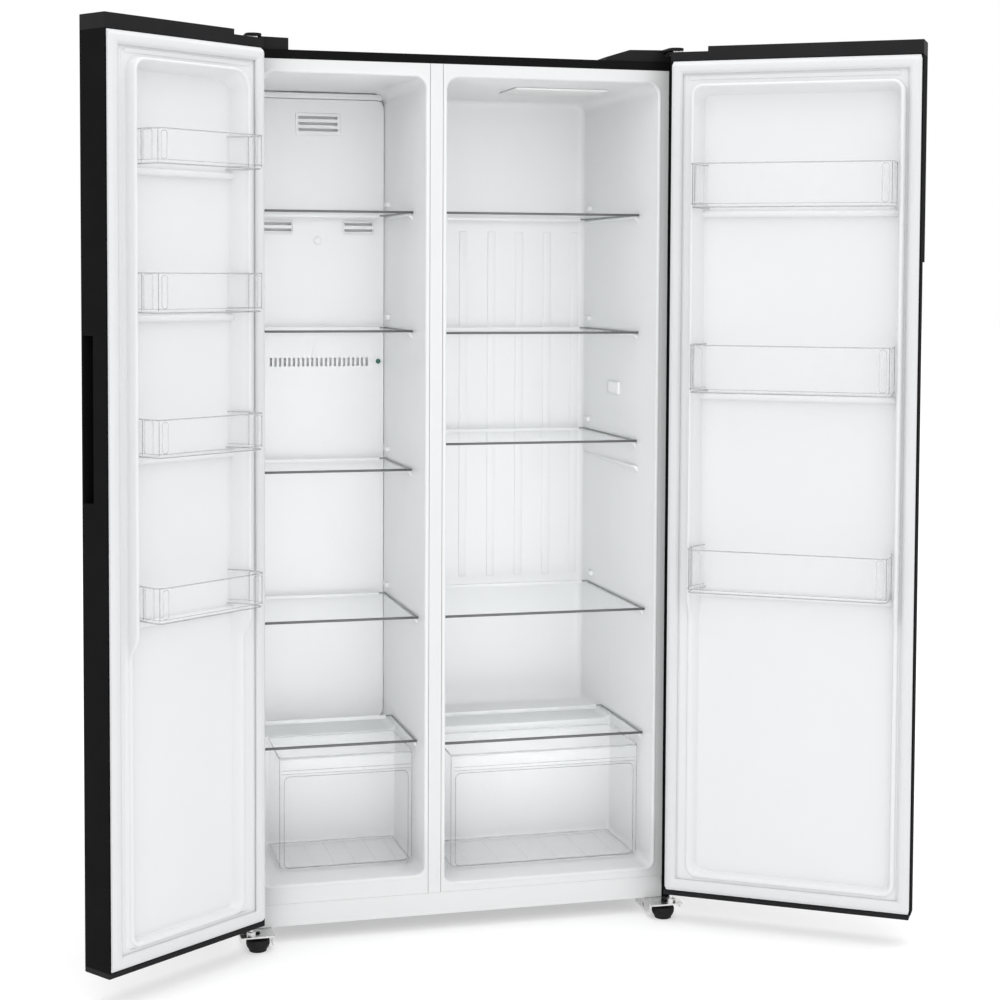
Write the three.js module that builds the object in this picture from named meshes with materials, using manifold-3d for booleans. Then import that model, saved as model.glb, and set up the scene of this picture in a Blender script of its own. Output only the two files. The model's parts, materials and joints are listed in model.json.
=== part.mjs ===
// Side by side refrigerator: freezer on the left, fresh food on the right, both doors standing open.
// Millimetres, +Z up, the front faces -Y. The cabinet is built around its own front plane (y = 0) and
// centre line (x = 0), and each door is built closed and then swung about its hinge pins.
import * as THREE from "three";
import { ConvexGeometry } from "three/addons/geometries/ConvexGeometry.js";
import { mergeVertices } from "three/addons/utils/BufferGeometryUtils.js";
import Module from "manifold-3d";

const wasm = await Module();
wasm.setup();

// ---- driving dimensions ----
const WIDTH = 885;
const CASE_DEPTH = 560; // front plane to back panel
const CASE_BOTTOM = 34; // lower edge of the case above the floor
const CASE_TOP = 1754;
const SHEET = 1.2; // steel sheet of the case and of the door shells
const LIP = 17.5; // the case's folded front edge
const GAP = 0.3; // between pieces that touch
const SKIN = 2; // plastic liners and frames

const OPENING_TOP = 1710;
const KICK_TOP = 78.5; // seam between front frame and kick plate
const OPENINGS = {
  freezer: { x0: -402.5, x1: -80, z0: 117 },
  fridge: { x0: -37, x1: 402.5, z0: 98 },
};
const OPENING_RADIUS = 16;
const LINER_DEPTH = 487;
const LINER_DRAFT = 9; // each side wall leans in by this much over the liner's depth
const STEP_TOP = 350; // the liners step forward over the machine bay below this height
const STEP_FRONT = 272;
const BAY_TOP = 262; // the machine bay behind and below the step
const BAY_FRONT = 334;

const DOOR_GAP = 10; // closed door face to the cabinet front
const DOOR_THICKNESS = 72;
const DOOR_BOTTOM = 57;
const DOOR_TOP = 1778;
const TOP_CAP = 28;
const BOTTOM_CAP = 10;
const DOORS = {
  freezer: { x0: -WIDTH / 2, x1: -60, hinge: -1, open: 144 },
  fridge: { x0: -55.5, x1: WIDTH / 2, hinge: 1, open: 147 },
};
const PIN_INSET = 10; // hinge pin axis inside the cabinet's side
const PIN_FORWARD = 38; // and ahead of the cabinet's front
const PIN_RADIUS = 4.5;
const PIN_BORE = 5;
const FOAM_INSET = 2.6; // foam behind a plastic liner

const SHELF_THICKNESS = 4;
const SHELF_TRIM = 9; // height of the front trim
const SHELVES = [
  { freezer: 1445, fridge: 1445, front: 106, back: { freezer: 372, fridge: 470 } },
  { freezer: 1204, fridge: 1200, front: 106, back: { freezer: 372, fridge: 470 } },
  { freezer: 921, fridge: 972, front: 110, back: { freezer: 372, fridge: 470 } },
  { freezer: 627, fridge: 626, front: 52, back: { freezer: 372, fridge: 440 } },
  { freezer: 373, fridge: 364, front: 60, back: { freezer: 300, fridge: 330 } },
];
const PANE_CLEARANCE = 1.3; // each side of a shelf
const LEDGE_WIDTH = 7; // moulded shelf ledge on each side wall
const LEDGE_HEIGHT = 6;
const LEDGE_FRONT = 90;
const SPARE_LEDGES = { freezer: [], fridge: [922] }; // ledges that hold no shelf
const BACK_RIBS = { first: 150, pitch: 65, count: 4, width: 18 }; // from the opening's left side
const LAMP = { offset: 60, width: 200, y0: 150, y1: 290, height: 14, radius: 4 };
const EVAPORATOR_COVER_Y = 385;
const VENTS = [
  { x: -232, width: 84, z: 1626, count: 3 },
  { x: -144, width: 60, z: 1412, count: 2 },
  { x: -320, width: 60, z: 1412, count: 2 },
];
const VENT_PITCH = 13;
const VENT_HEIGHT = 6;
const RETURN_GRILLE = { first: -336, pitch: 9.9, count: 22, width: 5, low: 1123, high: 1141 };
const PLUG = { x: -101, z: 1133, r: 5 }; // small plug beside the grille

const DRAWERS = {
  freezer_drawer: { x0: -362, x1: -86, y0: 76, y1: 262, z0: 122, top: 352 },
  crisper_drawer: { x0: -10, x1: 395, y0: 70, y1: 262, z0: 103, top: 340 },
};

const CREST = 24; // height of the door liner's dike beside the bins
const LOW_CREST = 3; // and below them
const DIKE_SPLIT = 650; // height at which the dike drops
const RECESS = 28; // depth of the door liner's recess below its face
const DIKES = {
  freezer: { hingeInset: 52, freeInset: 46, top: 1706, bottom: 98 },
  fridge: { hingeInset: 44, freeInset: 31, top: 1704, bottom: 98 },
};
const BIN_FRONT = 72; // bins stand this far from the door's inner face
const BINS = {
  freezer: [
    [1514, 1578],
    [1250, 1323],
    [993, 1063],
    [697, 763],
  ],
  fridge: [
    [1455, 1543],
    [1090, 1186],
    [692, 780],
  ],
};
const GRIP = { z0: 910, z1: 1210, y0: -74, y1: -46, depth: 26 };
const GRIP_STEP_TOP = 1350; // above this the fridge door's free edge stands proud
const GRIP_STEP = 4;
const CREST_IN = 10; // from the dike's outer edge to the recess
const RAMP = 43; // height over which the dike drops below the bins
const FLOOR_INSET = { hinge: 24, free: 6, top: 14, bottom: 12 };
const LEDGE_UNDER_BIN = { drop: 17, height: 13, setBack: 3 };
const LOW_RIBS = { first: 234, pitch: 91, count: 5, height: 4, hinge: 70, free: 50 };
const EDGE = 4; // the door shell's fold beside the white liner
const HINGE_ROUND = 9; // plan radii of a door's front corners
const FREE_ROUND = 6;

const FOAM_BOTTOM = 62;
const RAIL_TOP = 60; // base frame rails and floor
const FLOOR_SHEET = 1.5;
const TRAY_TOP = CASE_BOTTOM + 6; // floor of the machine bay
const ROLLER = { x: 396, y: 505, z: 20, r: 20, width: 16, axle: 4 };
const INLET = { x: 250, z: 330, boss: 13, bossEnd: 11, bore: 4 }; // gland of the mains lead
const HINGE_PLATE = { z0: 30.7, z1: 33.7 };
const FOOT = { x: 418, y: -28, r: 23, top: 25, stem: 4 };
const SEAT_Z = 1768; // top of a door's end cap where the hinge arm crosses it
const COVER_TOP = 1779; // top of the hinge covers

// The part's origin: centre of the box of the object with its doors open, on the floor.
const ORIGIN = new THREE.Vector3(53, 104, 0);

// ---- looks ----
const paint = (color, roughness, metalness = 0) =>
  new THREE.MeshStandardMaterial({ color, roughness, metalness });
const seeThrough = (color, roughness, opacity) =>
  new THREE.MeshStandardMaterial({ color, roughness, transparent: true, opacity });
const LOOKS = {
  black: paint(0x1c1c1e, 0.42, 0.3),
  blackPlastic: paint(0x19191a, 0.5),
  white: paint(0xeceef0, 0.45),
  foam: paint(0xe8d9a8, 0.9),
  galvanised: paint(0xaeb2b5, 0.45, 0.9),
  zinc: paint(0xd5d7d9, 0.28, 1),
  copper: paint(0xb4714a, 0.35, 1),
  aluminium: paint(0xc9ccd0, 0.35, 1),
  glass: seeThrough(0xdfe6e6, 0.08, 0.45),
  clear: seeThrough(0xe9edef, 0.12, 0.4),
  rubber: paint(0xdcdde0, 0.7),
  lamp: paint(0xf4f4ee, 0.5),
  green: paint(0x2c5a4c, 0.6),
};

// ---- geometry helpers ----
const solid = (geometry) => {
  const g = geometry.index ? geometry.toNonIndexed() : geometry.clone();
  g.deleteAttribute("normal");
  g.deleteAttribute("uv");
  const merged = mergeVertices(g, 1e-4);
  return new wasm.Manifold(
    new wasm.Mesh({
      numProp: 3,
      vertProperties: merged.attributes.position.array,
      triVerts: new Uint32Array(merged.index.array),
    }),
  );
};

const geometryOf = (manifold) => {
  const { vertProperties, triVerts, numProp } = manifold.getMesh();
  const positions = new Float32Array((vertProperties.length / numProp) * 3);
  for (let i = 0; i < positions.length / 3; i++)
    for (let k = 0; k < 3; k++) positions[3 * i + k] = vertProperties[numProp * i + k];
  const g = new THREE.BufferGeometry();
  g.setAttribute("position", new THREE.BufferAttribute(positions, 3));
  g.setIndex(new THREE.BufferAttribute(new Uint32Array(triVerts), 1));
  g.computeVertexNormals();
  return g;
};

const join = (...parts) => parts.reduce((a, b) => a.add(b));
const cut = (a, ...tools) => tools.reduce((body, tool) => body.subtract(tool), a);

const box = (x0, x1, y0, y1, z0, z1) =>
  solid(
    new THREE.BoxGeometry(x1 - x0, y1 - y0, z1 - z0).translate((x0 + x1) / 2, (y0 + y1) / 2, (z0 + z1) / 2),
  );

const AXIS_TURN = {
  x: new THREE.Matrix4().makeRotationZ(-Math.PI / 2),
  y: new THREE.Matrix4(),
  z: new THREE.Matrix4().makeRotationX(Math.PI / 2),
};

// A cylinder or cone about an axis through (x, y, z), its length centred there.
const rod = (axis, x, y, z, length, r0, r1 = r0, sides = 20) =>
  solid(new THREE.CylinderGeometry(r1, r0, length, sides).applyMatrix4(AXIS_TURN[axis]).translate(x, y, z));

const polygon = (points) => new THREE.Shape(points.map(([a, b]) => new THREE.Vector2(a, b)));

const extrusion = (points, depth) =>
  new THREE.ExtrudeGeometry(polygon(points), { depth, bevelEnabled: false });

// A plan outline (x, y) raised from z0 to z1.
const prismZ = (points, z0, z1) => solid(extrusion(points, z1 - z0).translate(0, 0, z0));

// A front outline (x, z) carried from y0 to y1.
const prismY = (points, y0, y1) =>
  solid(
    extrusion(points, y1 - y0)
      .rotateX(Math.PI / 2)
      .translate(0, y1, 0),
  );

const roundedRectPoints = ({ x0, x1, z0, z1 }, radius, y, steps = 5) => {
  const points = [];
  const corners = [
    [x1 - radius, z1 - radius, 0],
    [x0 + radius, z1 - radius, 90],
    [x0 + radius, z0 + radius, 180],
    [x1 - radius, z0 + radius, 270],
  ];
  for (const [cx, cz, start] of corners)
    for (let i = 0; i <= steps; i++) {
      const a = THREE.MathUtils.degToRad(start + (90 * i) / steps);
      points.push(new THREE.Vector3(cx + radius * Math.cos(a), y, cz + radius * Math.sin(a)));
    }
  return points;
};

// A tapered block between two rounded rectangles that face along y.
const taper = (rectA, ya, rectB, yb, radiusA, radiusB = radiusA) => {
  const near = roundedRectPoints(rectA, radiusA, ya);
  const far = roundedRectPoints(rectB, radiusB, yb);
  return solid(new ConvexGeometry([...near, ...far]));
};

const grown = ({ x0, x1, z0, z1 }, d) => ({ x0: x0 - d, x1: x1 + d, z0: z0 - d, z1: z1 + d });

// A round bar along a list of points, its corners rounded by a smooth curve where asked.
const tube = (points, radius, steps, sides = 8) => {
  const path = new THREE.CurvePath();
  for (let i = 1; i < points.length; i++)
    path.add(new THREE.LineCurve3(new THREE.Vector3(...points[i - 1]), new THREE.Vector3(...points[i])));
  const curve = new THREE.CatmullRomCurve3(path.getSpacedPoints(steps), false, "catmullrom", 0.5);
  const section = new THREE.Shape();
  for (let i = 0; i < sides; i++) {
    const a = (2 * Math.PI * i) / sides;
    section[i ? "lineTo" : "moveTo"](radius * Math.cos(a), radius * Math.sin(a));
  }
  section.closePath();
  return solid(new THREE.ExtrudeGeometry(section, { steps, extrudePath: curve, bevelEnabled: false }));
};

// ---- the scene ----
const refrigerator = new THREE.Group();
refrigerator.name = "side_by_side_refrigerator";
const cabinet = new THREE.Group();
cabinet.position.copy(ORIGIN).negate();
refrigerator.add(cabinet);

const place = (group, name, manifold, material) => {
  const mesh = new THREE.Mesh(geometryOf(manifold), material);
  mesh.name = name;
  group.add(mesh);
};

// ---- cabinet ----
const HALF = WIDTH / 2;
const INSIDE = HALF - SHEET;
const SIDES = ["freezer", "fridge"];
const HANDS = { left: -1, right: 1 };

// How far a liner's side wall has leaned in at a depth.
const wallLean = (y) => (LINER_DRAFT * y) / LINER_DEPTH;

// A span given for the right hand side, turned over for the left.
const mirrored = (hand, a, b) => (hand > 0 ? [a, b] : [-b, -a]);

function outerCase() {
  const shell = cut(
    box(-HALF, HALF, 0, CASE_DEPTH, CASE_BOTTOM, CASE_TOP),
    box(-INSIDE, INSIDE, SHEET, CASE_DEPTH + 1, CASE_BOTTOM - 1, CASE_TOP - SHEET),
    box(LIP - HALF, HALF - LIP, -1, SHEET + 1, CASE_BOTTOM - 1, CASE_TOP - LIP),
  );
  place(cabinet, "outer_case", shell, LOOKS.black);
}

const openingRect = (side) => ({ ...OPENINGS[side], z1: OPENING_TOP });

function frontFrame() {
  const seamWidth = 1;
  const seamDepth = 0.8;
  const seamEnd = 4; // left whole above and below the seam
  const kickDepth = 26;
  const frame = cut(
    box(LIP - HALF + GAP, HALF - LIP - GAP, 0, SKIN, KICK_TOP + GAP, CASE_TOP - LIP - GAP),
    ...SIDES.map((side) => {
      const opening = openingRect(side);
      return taper(opening, -1, opening, SKIN + 1, OPENING_RADIUS);
    }),
  );
  const seams = [OPENINGS.freezer.x1 + 6, OPENINGS.fridge.x0 - 7].map((x) =>
    box(x, x + seamWidth, -1, seamDepth, OPENINGS.freezer.z0 + seamEnd, OPENING_TOP - seamEnd),
  );
  place(cabinet, "front_frame", cut(frame, ...seams), LOOKS.white);
  const kick = cut(
    box(LIP - HALF + GAP, HALF - LIP - GAP, 0, kickDepth, CASE_BOTTOM, KICK_TOP),
    box(LIP - HALF - 1, HALF - LIP + 1, SKIN, kickDepth + 1, CASE_BOTTOM + SKIN, KICK_TOP + 1),
  );
  place(cabinet, "kick_plate", kick, LOOKS.white);
}

// The liner's cavity, or its outer shape when grown by the skin.
function linerVolume(side, y0, grow) {
  const front = grown(openingRect(side), grow);
  const back = { ...front, x0: front.x0 + LINER_DRAFT, x1: front.x1 - LINER_DRAFT };
  const lean = wallLean(STEP_FRONT);
  const middle = { ...front, x0: front.x0 + lean, x1: front.x1 - lean };
  const radius = OPENING_RADIUS + grow;
  const z0 = STEP_TOP - grow;
  return join(
    taper(front, y0, middle, STEP_FRONT - SKIN + grow, radius),
    taper({ ...front, z0 }, y0, { ...back, z0 }, LINER_DEPTH - SKIN + grow, radius),
  );
}

function shelfRails(side) {
  const { x0, x1 } = OPENINGS[side];
  const reach = LINER_DRAFT / 2 + LEDGE_WIDTH;
  const root = 5; // starts inside the wall
  const pair = (z, back) => [
    box(x0 - root, x0 + reach, LEDGE_FRONT, back, z - GAP - LEDGE_HEIGHT, z - GAP),
    box(x1 - reach, x1 + root, LEDGE_FRONT, back, z - GAP - LEDGE_HEIGHT, z - GAP),
  ];
  const held = SHELVES.flatMap((shelf) => pair(shelf[side], Math.min(shelf.back[side] + 6, LINER_DEPTH)));
  const spare = SPARE_LEDGES[side].flatMap((z) => pair(z, LINER_DEPTH));
  return join(...held, ...spare);
}

function backRibs() {
  const { first, pitch, count, width } = BACK_RIBS;
  const end = 30; // short of the step and of the ceiling
  const proud = 2;
  const ribs = [];
  for (let i = 0; i < count; i++) {
    const x = OPENINGS.fridge.x0 + first + i * pitch - width / 2;
    const y1 = LINER_DEPTH - 1;
    ribs.push(box(x, x + width, y1 - 1 - proud, y1, STEP_TOP + end, OPENING_TOP - end));
  }
  return join(...ribs);
}

function liners() {
  for (const side of SIDES) {
    const outer = linerVolume(side, SKIN + GAP, SKIN);
    const shell = cut(outer, linerVolume(side, SKIN - 1, 0));
    const extras = side === "fridge" ? join(shelfRails(side), backRibs()) : shelfRails(side);
    place(cabinet, `${side}_liner`, join(shell, extras.intersect(outer)), LOOKS.white);
  }
}

function cabinetFoam() {
  const back = CASE_DEPTH - SHEET - 2 * GAP;
  const top = CASE_TOP - SHEET - GAP;
  const below = FOAM_BOTTOM - 12; // the cuts start under the foam
  const foam = cut(
    box(-INSIDE + GAP, INSIDE - GAP, SKIN + 2 * GAP, back, FOAM_BOTTOM, top),
    ...SIDES.map((side) => linerVolume(side, SKIN - 1, SKIN + GAP)),
    box(-HALF, HALF, BAY_FRONT - 5, CASE_DEPTH, below, BAY_TOP + 2),
    box(-HALF, HALF, 0, 28, below, KICK_TOP + 1),
  );
  place(cabinet, "cabinet_foam", foam, LOOKS.foam);
}

function backPanel() {
  const { x, z, boss, bossEnd, bore } = INLET;
  const y0 = CASE_DEPTH - SHEET - GAP;
  const top = CASE_TOP - SHEET - GAP;
  const sheet = box(-INSIDE + GAP, INSIDE - GAP, y0, CASE_DEPTH - GAP, BAY_TOP + 2, top);
  const gland = rod("y", x, CASE_DEPTH + 2, z, 7, boss, bossEnd);
  const panel = cut(join(sheet, gland), rod("y", x, CASE_DEPTH, z, 30, bore));
  place(cabinet, "back_panel", panel, LOOKS.galvanised);
}

function baseFrame() {
  const side = INSIDE - 2;
  const railWidth = 28;
  const railFront = 30;
  const back = CASE_DEPTH - 8;
  const wall = BAY_FRONT - 3; // back face of the bay's front wall
  const ceiling = BAY_TOP + FLOOR_SHEET;
  const ear = { offset: ROLLER.width / 2 + 3, half: 1.5, reach: 12, drop: 8 };
  const well = { half: ROLLER.width / 2 + 1, reach: 25, top: 50 };
  const hands = Object.values(HANDS);
  const tray = box(-side, side, BAY_FRONT + 6, back, TRAY_TOP - 2, TRAY_TOP);
  const wells = hands.map((hand) => {
    const x = hand * ROLLER.x;
    const { half, reach, top } = well;
    return box(x - half, x + half, ROLLER.y - reach, ROLLER.y + reach, CASE_BOTTOM, top);
  });
  const parts = [
    box(-side, railWidth - side, railFront, back, CASE_BOTTOM, RAIL_TOP),
    box(side - railWidth, side, railFront, back, CASE_BOTTOM, RAIL_TOP),
    box(-side, side, railFront, wall, RAIL_TOP - FLOOR_SHEET, RAIL_TOP),
    box(-side, side, wall - FLOOR_SHEET, wall, RAIL_TOP - FLOOR_SHEET, ceiling),
    box(-side, side, wall - FLOOR_SHEET, CASE_DEPTH - 4, BAY_TOP, ceiling),
    cut(tray, ...wells),
  ];
  for (const hand of hands) {
    const { y, z, width, axle } = ROLLER;
    for (const end of hands) {
      const x = hand * ROLLER.x + end * ear.offset;
      parts.push(
        box(x - ear.half, x + ear.half, y - ear.reach, y + ear.reach, z - ear.drop, TRAY_TOP - 1),
      );
    }
    parts.push(rod("x", hand * ROLLER.x, y, z, width + 9, axle, axle, 16));
  }
  place(cabinet, "base_frame", join(...parts), LOOKS.galvanised);
}

function rearRollers() {
  const { y, z, r, width, axle } = ROLLER;
  const bore = axle + 0.4;
  for (const [name, hand] of Object.entries(HANDS)) {
    const x = hand * ROLLER.x;
    const wheel = cut(rod("x", x, y, z, width, r, r, 32), rod("x", x, y, z, width + 4, bore, bore, 16));
    place(cabinet, `rear_roller_${name}`, wheel, LOOKS.blackPlastic);
  }
}

function fridgeLamp() {
  const { offset, width, y0, y1, height, radius } = LAMP;
  const x = (OPENINGS.fridge.x0 + OPENINGS.fridge.x1) / 2 + offset;
  const z0 = OPENING_TOP - height;
  const outline = { x0: x - width / 2, x1: x + width / 2, z0, z1: OPENING_TOP - GAP };
  place(cabinet, "fridge_lamp", taper(outline, y0, outline, y1, radius), LOOKS.lamp);
}

function evaporatorCover() {
  const { x0, x1 } = OPENINGS.freezer;
  const y = EVAPORATOR_COVER_Y;
  const lean = wallLean(y) + 1.2;
  const depth = 14;
  const skin = 3;
  const outline = { x0: x0 + lean, x1: x1 - lean, z0: STEP_TOP + 2, z1: OPENING_TOP - 16 };
  const inner = grown(outline, -skin);
  const body = cut(
    taper(outline, y, outline, y + depth, OPENING_RADIUS + 2),
    taper(inner, y + skin, inner, y + depth + 1, OPENING_RADIUS),
  );
  const slots = [];
  const slot = (left, right, low, high) => slots.push(box(left, right, y - skin, y + skin + 2, low, high));
  for (const { x, width, z, count } of VENTS)
    for (let i = 0; i < count; i++) {
      const low = z + i * VENT_PITCH;
      slot(x - width / 2, x + width / 2, low, low + VENT_HEIGHT);
    }
  const { first, pitch, count, width, low, high } = RETURN_GRILLE;
  for (let i = 0; i < count; i++) slot(first + i * pitch, first + i * pitch + width, low, high);
  const mouth = { x0: -280, x1: -184, z0: 1618, z1: 1664 }; // raised frame of the top vent
  const frame = taper(mouth, y - 2, grown(mouth, 2), y + 2, 4);
  const plug = rod("y", PLUG.x, y - 0.5, PLUG.z, 4, PLUG.r);
  place(cabinet, "evaporator_cover", cut(join(body, frame, plug), ...slots), LOOKS.white);
}

// A hub with pitched blades about the y axis, turned and moved into place.
function fanRotor(turn, centre, fan) {
  const { hub, tip, blades, shaft } = fan;
  const hubLength = 18;
  const bladeChord = 22;
  const bladeThickness = 2;
  const root = 4; // each blade starts inside the hub
  const settle = (g) => solid(g.applyMatrix4(turn).translate(...centre));
  const wings = [];
  for (let i = 0; i < blades; i++) {
    const blade = new THREE.BoxGeometry(tip - hub + root, bladeThickness, bladeChord)
      .rotateX(THREE.MathUtils.degToRad(35))
      .translate((tip + hub - root) / 2, 0, 0)
      .rotateY((2 * Math.PI * i) / blades);
    wings.push(settle(blade));
  }
  const boss = settle(new THREE.CylinderGeometry(hub, hub, hubLength, 24));
  const bore = settle(new THREE.CylinderGeometry(shaft + 0.4, shaft + 0.4, hubLength + 4, 12));
  return cut(join(boss, ...wings), bore);
}

const EVAPORATOR_FAN = { centre: [-241, 414, 1300], hub: 18, tip: 52, blades: 5, shaft: 3 };
const CONDENSER_FAN = { centre: [-60, 446, 135], hub: 20, tip: 66, blades: 5, shaft: 3 };

function evaporator() {
  const { x0, x1 } = OPENINGS.freezer;
  const fins = { count: 7, margin: 50, half: 0.8, y0: 406, y1: 462, z0: 420, z1: 760 };
  const passes = { count: 4, first: 460, pitch: 87, y: 434, r: 4, margin: 60 };
  const parts = [];
  for (let i = 0; i < fins.count; i++) {
    const x = x0 + fins.margin + (i * (x1 - x0 - 2 * fins.margin)) / (fins.count - 1);
    parts.push(box(x - fins.half, x + fins.half, fins.y0, fins.y1, fins.z0, fins.z1));
  }
  for (let i = 0; i < passes.count; i++) {
    const z = passes.first + i * passes.pitch;
    parts.push(rod("x", (x0 + x1) / 2, passes.y, z, x1 - x0 - passes.margin, passes.r, passes.r, 6));
  }
  parts.push(box(x0 + 34, x0 + 40, passes.y - 4, passes.y + 4, 445, 740)); // header that joins the passes
  place(cabinet, "evaporator", join(...parts), LOOKS.aluminium);
}

function evaporatorFan() {
  const [x, y, z] = EVAPORATOR_FAN.centre;
  const rotor = fanRotor(AXIS_TURN.y, EVAPORATOR_FAN.centre, EVAPORATOR_FAN);
  place(cabinet, "evaporator_fan", rotor, LOOKS.blackPlastic);
  const arm = { half: 70, thickness: 4, height: 16, front: 400, back: 466 };
  const low = z - arm.height / 2;
  const high = z + arm.height / 2;
  const motor = [
    rod("y", x, 446, z, 34, 26),
    rod("y", x, y + 12, z, 40, EVAPORATOR_FAN.shaft),
    box(x - arm.half, x + arm.half, arm.back - arm.thickness, arm.back, low, high),
    box(x - arm.half, x - arm.half + arm.thickness, arm.front, arm.back, low, high),
    box(x + arm.half - arm.thickness, x + arm.half, arm.front, arm.back, low, high),
  ];
  place(cabinet, "evaporator_fan_motor", join(...motor), LOOKS.galvanised);
}

// ---- machine bay ----
const COMPRESSOR = { x: 230, y: 446, seat: TRAY_TOP + 10 };
const CONDENSER = { x0: -385, x1: -150, y0: 370, pitch: 36, rows: 5, layers: [75, 155], r: 3 };

function compressor() {
  const { x, y, seat } = COMPRESSOR;
  const profile = [
    [0, 0],
    [56, 0],
    [70, 14],
    [72, 60],
    [72, 100],
    [64, 134],
    [40, 152],
    [0, 156],
  ].map(([r, z]) => new THREE.Vector2(r, z));
  const can = new THREE.LatheGeometry(profile, 28).rotateX(Math.PI / 2).translate(x, y, seat);
  const plate = { x: 92, y: 55, half: 2 };
  const grommet = { x: 82, y: 45, r: 9, height: 8.4 };
  const parts = [
    solid(can),
    box(x - plate.x, x + plate.x, y - plate.y, y + plate.y, seat - plate.half, seat + plate.half),
    rod("z", x - 60, y, seat + 140, 60, 4, 4, 10),
    rod("z", x + 55, y + 20, seat + 130, 60, 3, 3, 10),
  ];
  for (const sx of [-1, 1])
    for (const sy of [-1, 1]) {
      const centre = [x + sx * grommet.x, y + sy * grommet.y, TRAY_TOP + GAP + grommet.height / 2];
      parts.push(rod("z", ...centre, grommet.height, grommet.r, grommet.r, 12));
    }
  place(cabinet, "compressor", join(...parts), LOOKS.blackPlastic);
}

function condenser() {
  const { x0, x1, y0, pitch, rows, layers, r } = CONDENSER;
  const route = [];
  layers.forEach((z, layer) => {
    for (let i = 0; i < rows; i++) {
      const row = layer % 2 ? rows - 1 - i : i;
      const y = y0 + row * pitch;
      const ends = (layer * rows + i) % 2 ? [x1, x0] : [x0, x1];
      for (const x of ends) route.push([x, y, z]);
    }
  });
  const foot = { thickness: 4, y0: 366, y1: 520, top: 182 };
  const low = TRAY_TOP + GAP;
  const feet = [x0 + 5, x1 - 10].map((x) => box(x, x + foot.thickness, foot.y0, foot.y1, low, foot.top));
  place(cabinet, "condenser_coil", join(tube(route, r, 110, 6), ...feet), LOOKS.copper);
}

function condenserFan() {
  const [x, y, z] = CONDENSER_FAN.centre;
  const rotor = fanRotor(AXIS_TURN.x, CONDENSER_FAN.centre, CONDENSER_FAN);
  place(cabinet, "condenser_fan", rotor, LOOKS.blackPlastic);
  const low = TRAY_TOP + GAP;
  const bracket = 40; // half width
  const motor = [
    rod("x", x + 36, y, z, 44, 30),
    rod("x", x + 15, y, z, 50, CONDENSER_FAN.shaft),
    box(x + 34, x + 42, y - bracket, y + bracket, low, z - 20),
    box(x + 20, x + 60, y - bracket, y + bracket, low, TRAY_TOP + 3),
  ];
  place(cabinet, "condenser_fan_motor", join(...motor), LOOKS.galvanised);
}

function drainPan() {
  const pan = { x0: 110, x1: 350, y0: 372, y1: 520, z0: 222, z1: 246 };
  const { x0, x1, y0, y1, z0, z1 } = pan;
  const block = box(x0, x1, y0, y1, z0, z1);
  const hollow = box(x0 + SKIN, x1 - SKIN, y0 + SKIN, y1 - SKIN, z0 + SKIN, z1 + 1);
  place(cabinet, "drain_pan", cut(block, hollow), LOOKS.white);
}

function machineBayCover() {
  const louvres = {
    columns: 5,
    first: -380,
    pitch: 160,
    width: 120,
    rows: 6,
    low: 90,
    rise: 24,
    height: 8,
  };
  const thickness = 1.5;
  const y1 = CASE_DEPTH - GAP;
  const slots = [];
  for (let column = 0; column < louvres.columns; column++)
    for (let row = 0; row < louvres.rows; row++) {
      const x = louvres.first + column * louvres.pitch;
      const z = louvres.low + row * louvres.rise;
      slots.push(box(x, x + louvres.width, y1 - thickness - 1, y1 + 1, z, z + louvres.height));
    }
  const sheet = box(-INSIDE + 4, INSIDE - 4, y1 - thickness, y1, TRAY_TOP, BAY_TOP + 1);
  place(cabinet, "machine_bay_cover", cut(sheet, ...slots), LOOKS.galvanised);
}

// ---- hinges and feet ----
const PIN = { x: HALF - PIN_INSET, y: -PIN_FORWARD };

function bottomHinge(name, hand) {
  const sx = (a, b) => mirrored(hand, a, b);
  const { z0, z1 } = HINGE_PLATE;
  const web = 3;
  const inner = 387;
  const outer = 454;
  const stemBore = FOOT.stem + 0.4;
  const flange = cut(
    box(...sx(inner, inner + web), -34, 60, 9, z0 + 1),
    rod("x", hand * (inner + 1), 6, 19, 10, 5, 5, 16),
  );
  const bracket = join(
    box(...sx(inner, outer), -50, 75, z0, z1),
    flange,
    box(...sx(outer - web, outer), -40, 30, 22, z0 + 1),
    rod("z", hand * PIN.x, PIN.y, 54, 44, PIN_RADIUS),
    rod("z", hand * PIN.x, PIN.y, z1 + 4, 9, 9, 9, 6),
  );
  const hole = rod("z", hand * FOOT.x, FOOT.y, z1, 12, stemBore, stemBore, 16);
  place(cabinet, `bottom_hinge_${name}`, cut(bracket, hole), LOOKS.zinc);
}

function frontFoot(name, hand) {
  const { y, r, top, stem } = FOOT;
  const x = hand * FOOT.x;
  const pad = 4.4; // height of the pad under the knob
  const foot = join(
    rod("z", x, y, top / 2 + 2, top - 4, r - 4, r, 28),
    rod("z", x, y, pad / 2, pad, r - 7, r - 4, 28),
    rod("z", x, y, 30, 14, stem, stem, 16),
  );
  place(cabinet, `front_foot_${name}`, foot, LOOKS.blackPlastic);
}

function topHinge(name, hand) {
  const sx = (a, b) => mirrored(hand, a, b);
  const low = CASE_TOP + GAP;
  const armTop = SEAT_Z + 4.5;
  const arm = join(
    box(...sx(362, 436), 12, 100, low, CASE_TOP + 3),
    box(...sx(418, 438), 12, 16, low, armTop),
    box(...sx(418, 438), -46, 16, SEAT_Z + 1, armTop),
    rod("z", hand * PIN.x, PIN.y, SEAT_Z - 12, 28, PIN_RADIUS),
  );
  place(cabinet, `top_hinge_${name}`, arm, LOOKS.zinc);
}

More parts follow.
